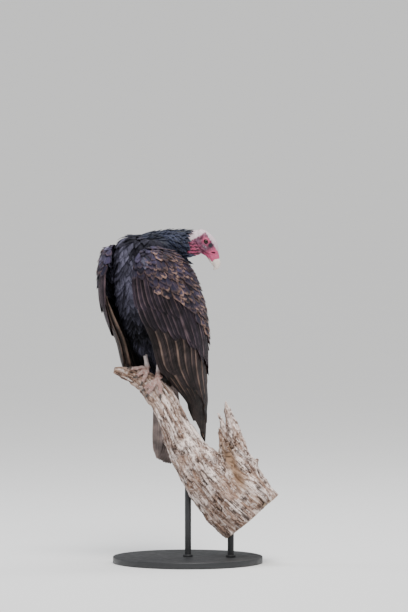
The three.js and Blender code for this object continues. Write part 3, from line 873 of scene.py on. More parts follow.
wingLooks["primary"] = dict(wingLooks["quill"], webFrom=0.28, webTo=0.12, webColour=(0.125, 0.085, 0.068),
                            streak=0.8, streakColour=(0.042, 0.029, 0.024), edge=0.6)
wingMaterials = {key: featherMaterial("wing" + key.capitalize(), look) for key, look in wingLooks.items()}

covertShape = {
    # at the wrist, what is added down the wing, and over how much of it
    "half": (0.0068, 0.0034, 0.45), "length": (0.024, 0.012, 0.4), "step": (0.0088, 0.0030, 0.4),
    "closeness": 1.22, "end": 0.66,
    # where the tips stop, as (s, t)
    "edge": np.array([(-0.1, 0.26), (0.0, 0.27), (0.12, 0.285), (0.25, 0.33), (0.4, 0.40), (0.6, 0.49),
                      (0.8, 0.59), (1.1, 0.71)]),
    "lifts": (-0.0068, -0.0004), "liftVary": 0.0012, "tilt": 0.001, "liningLifts": (-0.0065, -0.0006),
}
longRows = {
    # first and last root, first and last tip as (t, s), how many, half widths, low and high, jitter
    "plain": [
        ((0.13, 0.01), (0.20, 0.34), (0.39, 0.02), (0.46, 0.36), 11, (0.0075, 0.0085),
         -0.0072, -0.0022, 0.014),
        ((0.22, 0.04), (0.32, 0.52), (0.49, 0.05), (0.60, 0.52), 13, (0.0095, 0.0105),
         -0.0094, -0.0046, 0.018),
        ((0.34, 0.40), (0.52, 0.99), (0.58, 0.42), (0.74, 0.98), 15, (0.0100, 0.0110),
         -0.0090, -0.0034, 0.018)],
    "secondaries": [
        ((0.34, 0.05), (0.50, 0.98), (0.70, 0.07), (0.95, 0.99), 12, (0.0150, 0.0160),
         -0.0120, -0.0078, 0.045),
        ((0.46, 0.50), (0.56, 0.99), (0.86, 0.52), (1.08, 0.99), 9, (0.0130, 0.0140),
         -0.0106, -0.0060, 0.045)],
    "primaries": [
        ((0.34, 0.03), (0.50, 0.92), (1.04, 0.04), (1.31, 0.97), 13, (0.0125, 0.0140),
         -0.0150, -0.0112, 0.03)],
}
wingLays = {
    "covert": {"cup": 0.0018}, "lining": {"cup": 0.0016}, "plain": {"cup": 0.0022, "tilt": 0.0014},
    "quill": {"cup": 0.0024, "tilt": 0.0018, "thick": 0.0004},
}


def layOnWing(sheet, vane, roots, tips, width, low, high, cup, thick=0.0003, tilt=0.0, arc=None):
    # roots and tips are (t, s) on the sheet; lifts shrink where the wing is thin
    share = vane["v"][None]
    low, high = np.reshape(low, (-1, 1)), np.reshape(high, (-1, 1))
    t = roots[:, :1] + (tips[:, :1] - roots[:, :1]) * share
    s = roots[:, 1:] + (tips[:, 1:] - roots[:, 1:]) * share
    if arc is not None:
        s = s + arc[:, None] * np.sin(pi * share)
    across = np.interp(t, sheet["t"], sheet["width"])
    s = s + vane["u"][None] * width[:, None] / across
    spill = (s - np.clip(s, 0, 1)) * across  # what reaches past an edge folds round it
    room = np.interp(t, sheet["t"], np.clip(sheet["thick"] / 10, 0.16, 1))
    lift = (low + (high - low) * share) * room
    lift = lift - cup * vane["u"][None] ** 2 + vane["layer"][None] * thick * (1 - 0.8 * vane["rim"][None])
    lift = lift - tilt * vane["u"][None] * np.minimum(1, share * 4)
    points = onSheet(sheet, t, s, lift - np.abs(spill) * 0.8)
    inward, edge = (onSheet(sheet, t, np.where(s < 0.5, near, 1 - near), 0 * t) for near in (0.03, 0))
    return points - unit(inward - edge) * (np.abs(spill) * 0.5)[..., None]


def covertRows(sheet, size=1.0, sides=(-0.02, 1.02), first=0.002):
    # rows of small coverts from the wrist down
    rows = []
    t, row = first - 0.03, 0

    def grown(key, t):
        base, more, reach = covertShape[key]
        return (base + more * min(1, max(t, 0) / reach)) * size

    def after(start, length):
        return float(np.interp(np.interp(start, sheet["t"], sheet["run"]) + length, sheet["run"], sheet["t"]))

    while t < covertShape["end"]:
        half = grown("half", t)
        count = max(4, int(np.interp(t, sheet["t"], sheet["width"]) / (half * covertShape["closeness"])))
        for k in range(count + 1):
            s = (k + 0.5 * (row % 2)) / count + random.uniform(-0.3, 0.3) / count
            start = max(first, t + random.uniform(-0.014, 0.014))
            edge = np.interp(s, *covertShape["edge"].T) + random.uniform(-0.012, 0.012)
            tip = after(start, grown("length", start) * random.uniform(0.8, 1.2))
            if tip > edge or not sides[0] < s < sides[1]:
                continue
            tipSide = s + random.uniform(-0.03, 0.03) + 0.012
            width = half * random.uniform(0.7, 1.3)
            tone = random.uniform(0, 1) * float(ramp(0.0, 0.1, edge - tip)) * 0.5 + random.uniform(0, 0.5)
            brown = 0.2 + 0.8 * float(ramp(0.10, 0.34, s + random.uniform(-0.08, 0.08)))
            brown *= (0.4 + 0.6 * float(ramp(0.05, 0.2, tip))) * random.choice((0.2, 0.5, 0.8, 1.0, 1.2))
            rows.append((start, s, tip, tipSide, width, tone, brown))
        t = after(max(t, 0), grown("step", t)) + min(t, 0)
        row += 1
    rows = np.array(rows)
    return rows[:, :2], rows[:, 2:4], rows[:, 4], rows[:, 5], rows[:, 6]


def quillRow(rootFrom, rootTo, tipFrom, tipTo, count, halfWidth, low, high, jitter):
    # long feathers side by side
    share = np.linspace(0, 1, count)[:, None]
    roots, tips = (np.array([a]) * (1 - share) + np.array([b]) * share
                   for a, b in ((rootFrom, rootTo), (tipFrom, tipTo)))
    tips = tips + rng.uniform(-1, 1, tips.shape) * (jitter, jitter * 0.8)
    width = np.interp(share[:, 0], [0, 1], halfWidth) * (1 + rng.uniform(-0.06, 0.06, count))
    return roots, tips, width, low, high


def wingBatch(sheet, kind, row, values=(), places=None, **more):
    # one row of vanes on a sheet, with what is painted on them
    roots, tips = row[:2]
    vane = vanes["covert" if kind in ("covert", "lining") else "quill"]
    points = layOnWing(sheet, vane, *row, **wingLays["quill" if places else kind], **more)
    start, end = (np.interp(ends[:, 0], sheet["t"], sheet["run"]) for ends in (roots, tips))
    painted = dict(values, span=end - start, tint=rng.uniform(0, 1, len(roots)))
    if "tone" not in painted:
        painted["tone"] = rng.uniform(0, 1, len(roots))
    if places is None:
        shift = 0.52 if kind == "lining" else 0.02
        places = np.stack((roots[:, 1] * 0.46 + shift, roots[:, 0] * 0.72 + 0.02), axis=1)
    return vane, points, places, painted


def makeWing(name, side):
    outer, inner = wingSheet(side, 1), wingSheet(side, -1)
    roots, tips, width, tone, margin = covertRows(outer)
    low, high = covertShape["lifts"]
    high = high + rng.uniform(-1, 1, len(roots)) * covertShape["liftVary"]
    tilt = rng.uniform(-1, 1, (len(roots), 1)) * covertShape["tilt"]
    row = (roots, tips, width, low, high)
    batch = wingBatch(outer, "covert", row, dict(tone=tone, margin=margin), tilt=tilt)
    coverts = buildCoat(f"wing_{name}_covert_feathers", [batch])
    finishPiece(coverts, wingMaterials["covert"])

    # plain coverts of the hand along the leading edge, and under the last rows of the mottled ones
    rows = [quillRow(*spec) for spec in longRows["plain"]]
    plain = buildCoat(f"wing_{name}_greater_coverts", [wingBatch(outer, "plain", row) for row in rows])
    finishPiece(plain, wingMaterials["plain"])

    rows = {kind: [quillRow(*spec) for spec in longRows[kind]] for kind in ("secondaries", "primaries")}
    for kind, look in (("secondaries", "quill"), ("primaries", "primary")):
        batches = []
        for i, row in enumerate(rows[kind]):
            arc = rng.uniform(-0.025, 0.025, len(row[0]))
            strips = [(0.02 + 0.078 * k, 0.02 + 0.49 * i, 0.07, 0.46) for k in range(len(arc))]
            batches.append(wingBatch(outer, "quill", row, places=strips, arc=arc))
        coat = buildCoat(f"wing_{name}_{kind}_feathers", batches, strips=True)
        finishPiece(coat, wingMaterials[look], [f"wing_{name}_{kind}"])

    # the wing's inner face
    roots, tips, width, tone, _ = covertRows(inner, size=1.3, sides=(0.1, 0.8), first=0.07)
    row = (roots, tips, width, *covertShape["liningLifts"])
    # the inner face keeps only a quarter of the breast's painted highlight
    batch = wingBatch(inner, "lining", row, dict(tone=tone * 0.25))
    finishPiece(buildCoat(f"wing_{name}_lining", [batch]), bodyMaterials["breast"])


bothSides = {"left": 1, "right": -1}
for name, side in bothSides.items():
    makeWing(name, side)

# tail
tailShape = {"root": (0, 66, 468), "tip": (1, 80, 214), "spread": 30, "rootSpread": 13, "count": 12,
             "halfWidth": 14.5, "shorter": 9, "layer": 0.55, "sag": 5, "cup": 2.2, "thick": 0.35}


def makeTail():
    root, tip = np.array(tailShape["root"], float), np.array(tailShape["tip"], float)
    vane, count = vanes["quill"], tailShape["count"]
    points, lengths = [], []
    for k in range(count):
        # left and right by turns, the middle pair last and on top
        share = copysign(1 - k // 2 * 2 / (count - 1), (2 * k / (count - 1) - 1) * (1 if k % 2 else -1))
        layer = -tailShape["layer"] * (count - k)
        foot = root + (share * tailShape["rootSpread"], layer, 0)
        end = tip + (share * tailShape["spread"], layer * 0.7,
                     tailShape["shorter"] * share ** 2 + random.uniform(-2, 2))
        run = end - foot
        slope = run / np.linalg.norm(run)
        lateral = unit(np.array((1.0, 0, 0)) - slope * slope[0])
        normal = np.cross(lateral, slope)
        normal = normal if normal[1] > 0 else -normal
        width = tailShape["halfWidth"] * vane["u"]
        depth = tailShape["sag"] * np.sin(pi * vane["v"]) - tailShape["cup"] * vane["u"] ** 2
        depth += vane["layer"] * tailShape["thick"] * (1 - 0.8 * vane["rim"])
        points.append(foot + run * vane["v"][:, None] + lateral * width[:, None] + normal * depth[:, None])
        lengths.append(np.linalg.norm(run) * mm)
    strips = [(0.02 + 0.08 * k, 0.04, 0.07, 0.9) for k in range(count)]
    values = {"tint": rng.uniform(0.2, 0.9, count), "tone": (vane["layer"] < 0)[None] * 0.85, "span": lengths}
    return buildCoat("tail_feathers", [(vane, inRow(np.array(points)), strips, values)], strips=True)


tailLook = dict(wingLooks["quill"], dark=(0.045, 0.032, 0.030), light=(0.19, 0.145, 0.135), shaft=0.8,
                shaftColour=(0.26, 0.20, 0.17), edgeColour=(0.30, 0.23, 0.20), webColour=(0.30, 0.215, 0.185),
                specular=0.25)
finishPiece(makeTail(), featherMaterial("tailQuill", tailLook), ["tail"])

# head
headShape = {
    "place": along(126.5, -12, 708), "dip": 60, "eyeRadius": 6.3, "eyeOut": 17.2,
    "skull": [(-22, 0, -12), (-16, 0, -6), (0, 0, -1), (20, 0, 0), (34, 0, -1.5), (47, 0, -3)],
    "skullForm": [[0, 5, 4, 6], [0.06, 12, 10, 12], [0.2, 17.5, 18, 17.5], [0.36, 18, 18.5, 20],
                  [0.52, 15.5, 20, 21], [0.6, 13, 20.5, 19.8], [0.66, 11, 18.6, 18],
                  [0.74, 9.6, 14.6, 15.8], [0.82, 8.6, 12.9, 14], [0.94, 7.6, 11.3, 12.4],
                  [1, 7.2, 10.6, 11.8]],
    "nape": [(-2, 0, -2), (-10, 0, -16), (-20, 0, -34), (-34, 0, -58)],
    "napeForm": [[0, 12, 14, 17], [0.2, 17, 29, 22.5], [0.5, 18, 31, 24], [0.75, 18, 32, 24],
                 [1, 18, 31, 22]],
    "tip": [(37, 0, -1.5), (46, 0, -2.5), (54, 0, -4), (60, 0, -8.5), (63, 0, -15.5)],
    "tipForm": [[0, 6.8, 10, 9], [0.25, 7.4, 10.6, 9.8], [0.5, 6.6, 9.6, 9.6], [0.72, 4.8, 6.6, 7.2],
                [0.9, 2.4, 3, 3.6], [1, 0.8, 0.9, 0.9]],
    "under": [(14, 0, -11.5), (28, 0, -11.2), (42, 0, -11), (52.5, 0, -12)],
    "underForm": [[0, 6, 3, 3], [0.4, 5.6, 2.6, 3.4], [0.8, 4.6, 2.2, 3], [1, 2.2, 1, 1.2]],
    "nostril": (30, 15.6, 3), "nostrilSize": (9, 3.4), "nostrilTurn": 52, "voxel": 0.0011, "fineVoxel": 0.00075,
}
faceSpots = {
    # middle and reach along the face, and up it
    "lore": (12.2, 4.6, 5.6, 4.8), "below": (8, 6.5, -6.5, 3.4), "brow": (-1, 9, 8.6, 2.0),
    "ear": (-11, 2.4, -5, 3.6), "jowl": (-9, 7, -14, 7),
}
skinMasks = ("pale", "lore", "cere", "crease", "leg", "ashen", "wart", "plumed")
dip, lean = radians(headShape["dip"]), radians(headShape["nostrilTurn"])
headAxes = np.stack((heading * cos(dip) + down * sin(dip), behind, heading * sin(dip) - down * cos(dip)))


def headToRow(points):
    return inRow(headShape["place"] + np.asarray(points, float) @ headAxes)


def headLocal(points):
    return (toBird(points) - headShape["place"]) @ headAxes.T


def headPiece(name, line, around, steps, side=-1):
    form = headShape[line + "Form"]
    return swept(name, headShape[line], form, (0, side, 0), around, steps, toRow=headToRow)


def paintSkin(obj, **values):
    paint(obj, **{**dict.fromkeys(skinMasks, 0.0), **values})


def makeHeadSkin():
    parts = [headPiece("skull", "skull", 56, 48), headPiece("nape", "nape", 56, 30, side=1)]
    skin = evenOut(joinPieces(parts, "headSkin"), headShape["voxel"], 14)
    length, height = headShape["nostrilSize"]
    for side in bothSides.values():
        deselect()
        bpy.ops.mesh.primitive_cylinder_add(vertices=24, radius=1, depth=20)
        pit = bpy.context.object
        flat = pointsOf(pit)
        run, rise = flat[:, 0] * length / 2, flat[:, 1] * height / 2
        local = np.stack((run * cos(lean) - rise * sin(lean), flat[:, 2],
                          run * sin(lean) + rise * cos(lean)), axis=1)
        setPoints(pit, headToRow(local + np.array(headShape["nostril"]) * (1, side, 1)))
        faceOutward(pit)
        modify(skin, "BOOLEAN", operation="DIFFERENCE", object=pit, solver="EXACT")
        bpy.data.objects.remove(pit)
    return evenOut(skin, headShape["fineVoxel"], 3)


def sculptHead(skin):
    points, normals = pointsOf(skin), pointsOf(skin, "normal")
    local = headLocal(points)
    x, y, z = local.T
    out = np.abs(y)
    flank = ramp(5, 10, out)
    lore, below, brow, ear, jowl = (np.exp(-hill(x, *spot[:2]) - hill(z, *spot[2:])) * flank
                                    for spot in faceSpots.values())
    # round the middle of the eye, a little longer than high
    around, r = np.arctan2(z - 1, x), np.hypot(x / 1.12, (z - 1) / 0.92)
    wander = noiseAt(local, 5.0, 3.0)
    # rings of skin round the lids, broken up and strongest below and before the eye
    ringShare = np.clip(0.6 + 0.4 * np.cos(around + 1.2), 0.2, 1)
    rings = np.cos((r - 7.6) * 2 * pi / 2.9 + wander * 2.2) * ramp(15, 8, r) * ramp(5.4, 7.0, r)
    rise = rings * 0.5 * ringShare * flank
    # lores: close wrinkles before the eye, and warts below it
    rise += np.sin((x * 0.5 - z) * 2.1 + wander * 3) * 0.3 * lore
    warts = ramp(0.18, 0.42, noiseAt(local, 1.5, 31.0)) * below
    rise += 0.7 * warts + 0.9 * brow - 0.9 * ear
    # the fold along the jaw and the line of the mouth
    jaw = -16.5 + 0.012 * (x + 4) ** 2 + 0.9 * wander
    rise += 1.1 * np.exp(-hill(z, jaw, 1.3)) * ramp(-16, -8, x) * ramp(30, 20, x) * flank
    mouth = np.exp(-hill(z, jaw - 2.6, 0.8)) * ramp(-18, -6, x) * ramp(34, 24, x)
    mouth += np.exp(-hill(z, -9.4, 0.7)) * ramp(20, 26, x)
    rise -= 1.2 * mouth * flank
    # the bare nape: folds that cross the neck, and loose folds along the throat
    q = -0.506 * x - 0.862 * z
    front = z * 0.55 - x * 0.6
    nape = np.clip(ramp(12, 24, q) * 0.5 + ramp(2, 10, front) * 0.6, 0, 1)
    rise += (0.5 + 0.5 * wander) * np.sin(q * 2 * pi / 4.2 + wander * 3.0) * 0.6 * nape
    throat = ramp(0, -16, front) * ramp(8, 20, q)
    hang = np.sin((0.87 * x - 0.5 * z) * 2 * pi / 7.0 + wander * 2.6)
    rise += hang * 0.75 * throat * ramp(2, 7, out)
    rise += noiseAt(local, 1.6, 9.0) * 0.17 + noiseAt(local, 0.9, 5.0) * 0.08
    dx, dz = x - headShape["nostril"][0], z - headShape["nostril"][2]
    rim = np.hypot((dx * cos(lean) + dz * sin(lean)) / 4.5, (dz * cos(lean) - dx * sin(lean)) / 1.7)
    rise += 0.45 * np.exp(-hill(rim, 1.7, 0.5)) * ramp(4, 6, out)
    # the lids: open over the eyeball, with a thick margin
    local = headLocal(points + normals * (rise * mm)[:, None])
    near = (r < 7.0) & (out > 8)
    lidTop = headShape["eyeOut"] + 1.75 - 0.35 * np.clip(r - 4.4, 0, 3) ** 1.2
    inner = headShape["eyeOut"] - 6.4
    want = np.where(r / 4.1 < 0.97, inner, inner + (lidTop - inner) * ramp(0.97, 1.15, r / 4.1))
    mix = ramp(7.0, 5.6, r)
    local[near, 1] = (np.sign(y) * (want * mix + np.abs(local[:, 1]) * (1 - mix)))[near]
    setPoints(skin, headToRow(local))
    mottle = noiseAt(local, 3.2, 21.0)
    # pale crown: partly the skin's own pale, partly a painted highlight where the top light falls on the head
    crownPaleAndHighlight = ramp(9.9, 12.3, z + mottle * 1.6 + wander * 1.6 - 0.035 * np.clip(x, 0, 30)) * ramp(50, 44, x)
    inside = ramp(1.15, 0.95, rim) * ramp(4, 5, out) * ramp(9.3, 8.4, out)
    # pink of the cere towards the bill and of the ring round the eye; on the throat, a painted highlight on the
    # crests of the hanging folds
    cere = ramp(14, 28, x) + 0.8 * ramp(12, 7, r) * flank + 0.9 * throat * ramp(-0.6, 0.7, hang)
    # painted shade: darker where the sculpted skin dips, inside the nostril rim, in the ear hollow and in the
    # troughs of the throat folds
    crease = np.clip(-rise * 0.9, 0, 0.9) + inside + 0.7 * ear + 0.55 * throat * ramp(-0.5, -0.95, hang)
    paintSkin(skin, wart=warts, crease=crease, cere=np.clip(cere, 0, 1),
              ashen=np.clip(below * 0.9 + 0.45 * jowl, 0, 1),
              pale=np.clip(np.maximum(ramp(-16.4, -19.2, x + mottle * 1.8 + wander * 1.8), crownPaleAndHighlight), 0, 1),
              lore=np.clip(lore * 1.9 + 0.9 * ramp(5.6, 4.6, r) * flank, 0, 1),
              # painted shade: near black where the ruff covers it
              plumed=ramp(-37, -41, 0.5 * x + 0.866 * z))  # dark where the ruff covers it


headSkin = makeHeadSkin()
sculptHead(headSkin)
print("head skin:", len(headSkin.data.polygons))


# bill and eyes
hornLooks = {
    # at the root, at the tip, cloudy patches; ridge height and roughness
    "ivoryHorn": ((0.55, 0.40, 0.38), (0.78, 0.70, 0.64), (0.62, 0.50, 0.44), 0.25, 0.35),
    "clawHorn": ((0.10, 0.075, 0.065), (0.020, 0.016, 0.015), (0.14, 0.11, 0.09), 0.3, 0.4),
}


def hornMaterial(name):
    root, tip, clouds, ridge, rough = hornLooks[name]
    material, coords = newMaterial(name), objectCoords()
    fine, cloud = noiseOf(coords, 900.0), spread(noiseOf(coords, 260.0, 4.0), 0.35, 0.7)
    setShader(layered(root, (attribute("along"), tip), (times(cloud, 0.45), clouds)),
              spread(fine, 0.3, 0.7, rough - 0.06, rough + 0.12), 0.45, fine, ridge, 0.0004)
    return material


def finishBill(piece, node, start):
    paint(piece, along=ramp(start, 48, headLocal(pointsOf(piece))[:, 0]))
    shadeSmooth(piece)
    finishPiece(piece, billMaterial, [node])


billMaterial = hornMaterial("ivoryHorn")
billUpper = headPiece("bill_tip_upper", "tip", 48, 44)
local = headLocal(pointsOf(billUpper))
# the cutting edge turns in, and the ridge of the hook is drawn up a little
local[:, 1] *= 1 - 0.18 * ramp(-5, -9, local[:, 2]) * ramp(60, 50, local[:, 0])
local[:, 2] += 0.3 * np.sin(local[:, 0] * 0.9) * ramp(-4, -8, local[:, 2]) * ramp(58, 50, local[:, 0])
setPoints(billUpper, headToRow(local))
finishBill(billUpper, "bill_upper", 38)
finishBill(headPiece("bill_tip_lower", "under", 36, 30), "bill_lower", 34)

eyeMaterial, angle = newMaterial("darkEye"), attribute("gaze")
setShader(layered((0.018, 0.010, 0.006), (noiseOf(objectCoords(), 900.0), (0.045, 0.026, 0.014)),
                  (spread(angle, 36.0, 46.0), (0.010, 0.008, 0.007)),
                  (spread(angle, 20.0, 17.5), (0.0005, 0.0005, 0.0005))), 0.05, 0.35)


def makeEye(name, side):
    radius = headShape["eyeRadius"]
    deselect()
    bpy.ops.mesh.primitive_uv_sphere_add(segments=48, ring_count=32, radius=1)
    eye = bpy.context.object
    eye.name = f"eyeball_{name}"
    flat = pointsOf(eye)
    angle = np.degrees(np.arccos(np.clip(flat[:, 2], -1, 1)))
    bulge = 1 + 0.05 * ramp(46, 0, angle)  # the cornea
    gaze = unit(np.array((0.16, side, 0.02)))
    lateral = unit(np.cross(gaze, (0, 0, 1.0)))
    ball = flat * (radius * bulge)[:, None]
    turned = ball[:, :1] * lateral + ball[:, 1:2] * np.cross(lateral, gaze) + ball[:, 2:] * gaze
    centre = np.array((0, side * (headShape["eyeOut"] - radius * 0.62), 1))
    setPoints(eye, headToRow(centre + turned))
    faceOutward(eye)
    paint(eye, gaze=angle)
    shadeSmooth(eye)
    finishPiece(eye, eyeMaterial, [f"eye_{name}"])


for name, side in bothSides.items():
    makeEye(name, side)
print("bill and eyes are done")

# legs and claws
legShape = {
    "shank": [[0, 5.2, 6, 6], [0.42, 5.6, 5.6, 5.6], [0.56, 6.8, 6.8, 6.6], [0.68, 5.0, 5, 5],
              [0.88, 5.2, 5, 5], [1, 7.6, 7.4, 7.4]],
    "toe": [[0, 5.4, 5, 5], [0.2, 4.7, 4.5, 4.4], [0.36, 5.4, 5.0, 4.8], [0.5, 4.4, 4.2, 4.0],
            [0.66, 5.1, 4.7, 4.4], [0.82, 3.9, 3.8, 3.6], [0.93, 4.4, 4.2, 3.8], [1, 2.8, 3, 2.8]],
    "claw": [[0, 2.4, 2.7, 2.6], [0.3, 2.3, 2.6, 2.4], [0.65, 1.5, 1.8, 1.6], [1, 0.35, 0.35, 0.35]],
    "toeLifts": (8, 8, 5, 4.5), "clawLifts": (4.6, 7.6, 6.4, 1.4), "clawStart": 0.93, "clawReach": 16 / 44,
    "scute": 2.6, "between": 31, "voxel": 0.0011,
}


def onToe(name, toe, lifts, start=0.0, reach=1.0):
    # points along a toe, from its seat on the bark
    seat = np.array(feetShape[name]["seat"])
    return [onBranch(*(seat + np.array(toe) * (start + reach * i / 3)), lift) for i, lift in enumerate(lifts)]


def makeLegSkin(name):
    thigh, ankle, seat = legLine(name)
    parts = [swept("shank", [thigh, ankle, seat], legShape["shank"], around=28, steps=40)]
    paths = [smoothLine([thigh, ankle, seat], 90)]
    for toe in feetShape[name]["toes"]:
        path = onToe(name, toe, legShape["toeLifts"])
        parts.append(swept("toe", path, legShape["toe"], side=heading, around=20, steps=36))
        paths.append(smoothLine(path, 60))
    skin = evenOut(joinPieces(parts, f"legSkin_{name}"), legShape["voxel"], 5)
    points, normals = pointsOf(skin), pointsOf(skin, "normal")
    bird = toBird(points)
    # scutes: a row of plates over each toe and down the front of the shank
    best, run = np.full(len(points), 1e9), np.zeros(len(points))
    for k, path in enumerate(paths):
        gap = np.linalg.norm(bird[:, None] - path[None], axis=2)
        closer = gap.min(axis=1) < best
        best[closer] = gap.min(axis=1)[closer]
        run[closer] = runAlong(path)[gap.argmin(axis=1)][closer] + legShape["between"] * k
    top = ramp(-0.35, 0.35, normals[:, 2] * 0.7 - normals @ behind * 0.5)
    plates = np.abs(np.sin(run * pi / legShape["scute"])) ** 0.5
    grain = noiseAt(bird, 1.7, 2.0)
    rise = 0.42 * plates * top + grain * 0.28 * (1 - 0.6 * top) - 0.2
    setPoints(skin, points + normals * (rise * mm)[:, None])
    # painted shade: the top of the shank, under the thigh feathers, is near black
    paintSkin(skin, plumed=ramp(ankle[2] - 2, ankle[2] + 10, bird[:, 2]),
              # painted shade: darker in the grooves between the scutes and in the low spots of the grain
              crease=(1 - plates) * top * 0.45 + ramp(0.1, -0.5, grain) * 0.2,
              leg=1 + ramp(ankle[2] - 30, ankle[2] - 48, bird[:, 2]))

    claws = []
    for toe in feetShape[name]["toes"]:
        path = onToe(name, toe, legShape["clawLifts"], legShape["clawStart"], legShape["clawReach"])
        claws.append(swept("claw", path, legShape["claw"], side=heading, around=16, steps=18))
        reach = np.linalg.norm(toBird(pointsOf(claws[-1])) - path[0], axis=1)
        paint(claws[-1], along=np.clip(reach / 10, 0, 1))
    claws = joinPieces(claws, f"claws_{name}")
    shadeSmooth(claws)
    finishPiece(claws, clawMaterial, [f"claw_{name}_{i}" for i in (1, 2, 3, 4)])
    return skin


clawMaterial = hornMaterial("clawHorn")
legSkins = [makeLegSkin(name) for name in feetShape]
# painted shade: the body skin and the wing cores are near black, so that gaps between the feathers read as
# shade
paintSkin(bodySkin, plumed=1.0)

skinLooks = {
    "cheek": (0.118, 0.020, 0.052), "blotch": (0.055, 0.014, 0.034), "cere": (0.48, 0.072, 0.165),
    "flush": (0.50, 0.20, 0.30), "pale": (0.57, 0.47, 0.52), "paleCloud": (0.50, 0.36, 0.40),
    "lore": (0.014, 0.010, 0.020), "crease": (0.060, 0.010, 0.024), "plumed": (0.004, 0.004, 0.005),
    "ashen": (0.15, 0.085, 0.14), "wart": (0.60, 0.50, 0.52), "shank": (0.90, 0.78, 0.78),
    "toe": (0.36, 0.21, 0.185), "scaleGap": (0.16, 0.105, 0.095), "scaleCloud": (0.62, 0.54, 0.50),
}


def bareSkin():
    material, coords, look = newMaterial("bareSkin"), objectCoords(), skinLooks
    blotch, fine = noiseOf(coords, 210.0, 4.0, 0.6), noiseOf(coords, 1100.0, 3.0, 0.6)
    cells = add("TexVoronoi", {"Vector": coords, "Scale": 620.0}, "Distance", feature="DISTANCE_TO_EDGE")
    # pale crown and nape; on the crown partly a painted highlight
    pale = layered(look["pale"], (times(spread(blotch, 0.35, 0.6), 0.6), look["paleCloud"]))
    leg = attribute("leg")
    scaled = layered(look["shank"], (spread(leg, 1.0, 2.0), look["toe"]),
                     (spread(cells, 0.12, 0.0, 0.0, 0.5), look["scaleGap"]),
                     (times(spread(blotch, 0.45, 0.65), 0.5), look["scaleCloud"]))
    base = layered(look["cheek"], (spread(blotch, 0.49, 0.36, 0.0, 0.7), look["blotch"]),
                   # cere pink, which also paints the highlight on the throat folds
                   (attribute("cere"), look["cere"]), (times(spread(blotch, 0.5, 0.66), 0.4), look["flush"]),
                   (attribute("ashen"), look["ashen"]), (attribute("wart"), look["wart"]),
                   (attribute("pale"), pale), (attribute("lore"), look["lore"]),
                   (spread(leg, 0.5, 1.0), scaled),
                   # painted shade in the creases
                   (spread(attribute("crease"), 0.1, 0.9, 0.0, 0.8), look["crease"]),
                   # painted shade: skin under the feathers is near black
                   (attribute("plumed"), look["plumed"]))
    height = timesPlus(fine, 0.5, times(blotch, 0.5))
    setShader(base, spread(fine, 0.3, 0.7, 0.42, 0.62), 0.4, height, 0.6, 0.0006)
    return material


skin = joinPieces([bodySkin, headSkin] + legSkins, "skin")
shadeSmooth(skin)
paired = [f"{piece}_{side}" for piece in ("thigh", "shank", "foot") for side in bothSides]
finishPiece(skin, bareSkin(), ["trunk", "neck", "head"] + paired
            + [f"wing_{side}_coverts" for side in bothSides])
print("skin:", len(skin.data.polygons) * 2, "triangles")

# perch
perchLook = {
    "voxel": 0.0021, "crack": 3.0, "lump": 2.4, "flake": 2.0, "fine": 0.7, "peel": 1.6,
    # along, up, reach along and up, depth
    "hollow": (186, 222, 14, 52, 17), "pit": (262, 128, 20, 18, 12),
}


def limb(points, around, steps, wander, phase):
    table = smoothLine([along(*p[:3]) for p in points])
    girth = [[i / (len(points) - 1), p[3]] for i, p in enumerate(points)]

    def place(t, x, y):
        lateral, upward = squareTo(behind, lineSlope(table, t))
        a = np.arctan2(y, x)
        wave = np.sin(3 * a + 7 * t + phase) + 0.6 * np.sin(5 * a - 9 * t + phase)
        r = eased(girth, t)[:, 0] * (1 + wander * wave)
        return inRow(onLine(table, t) + lateral * (x * r)[:, None] + upward * (y * r)[:, None])

    return tube("limb", place, around, steps)


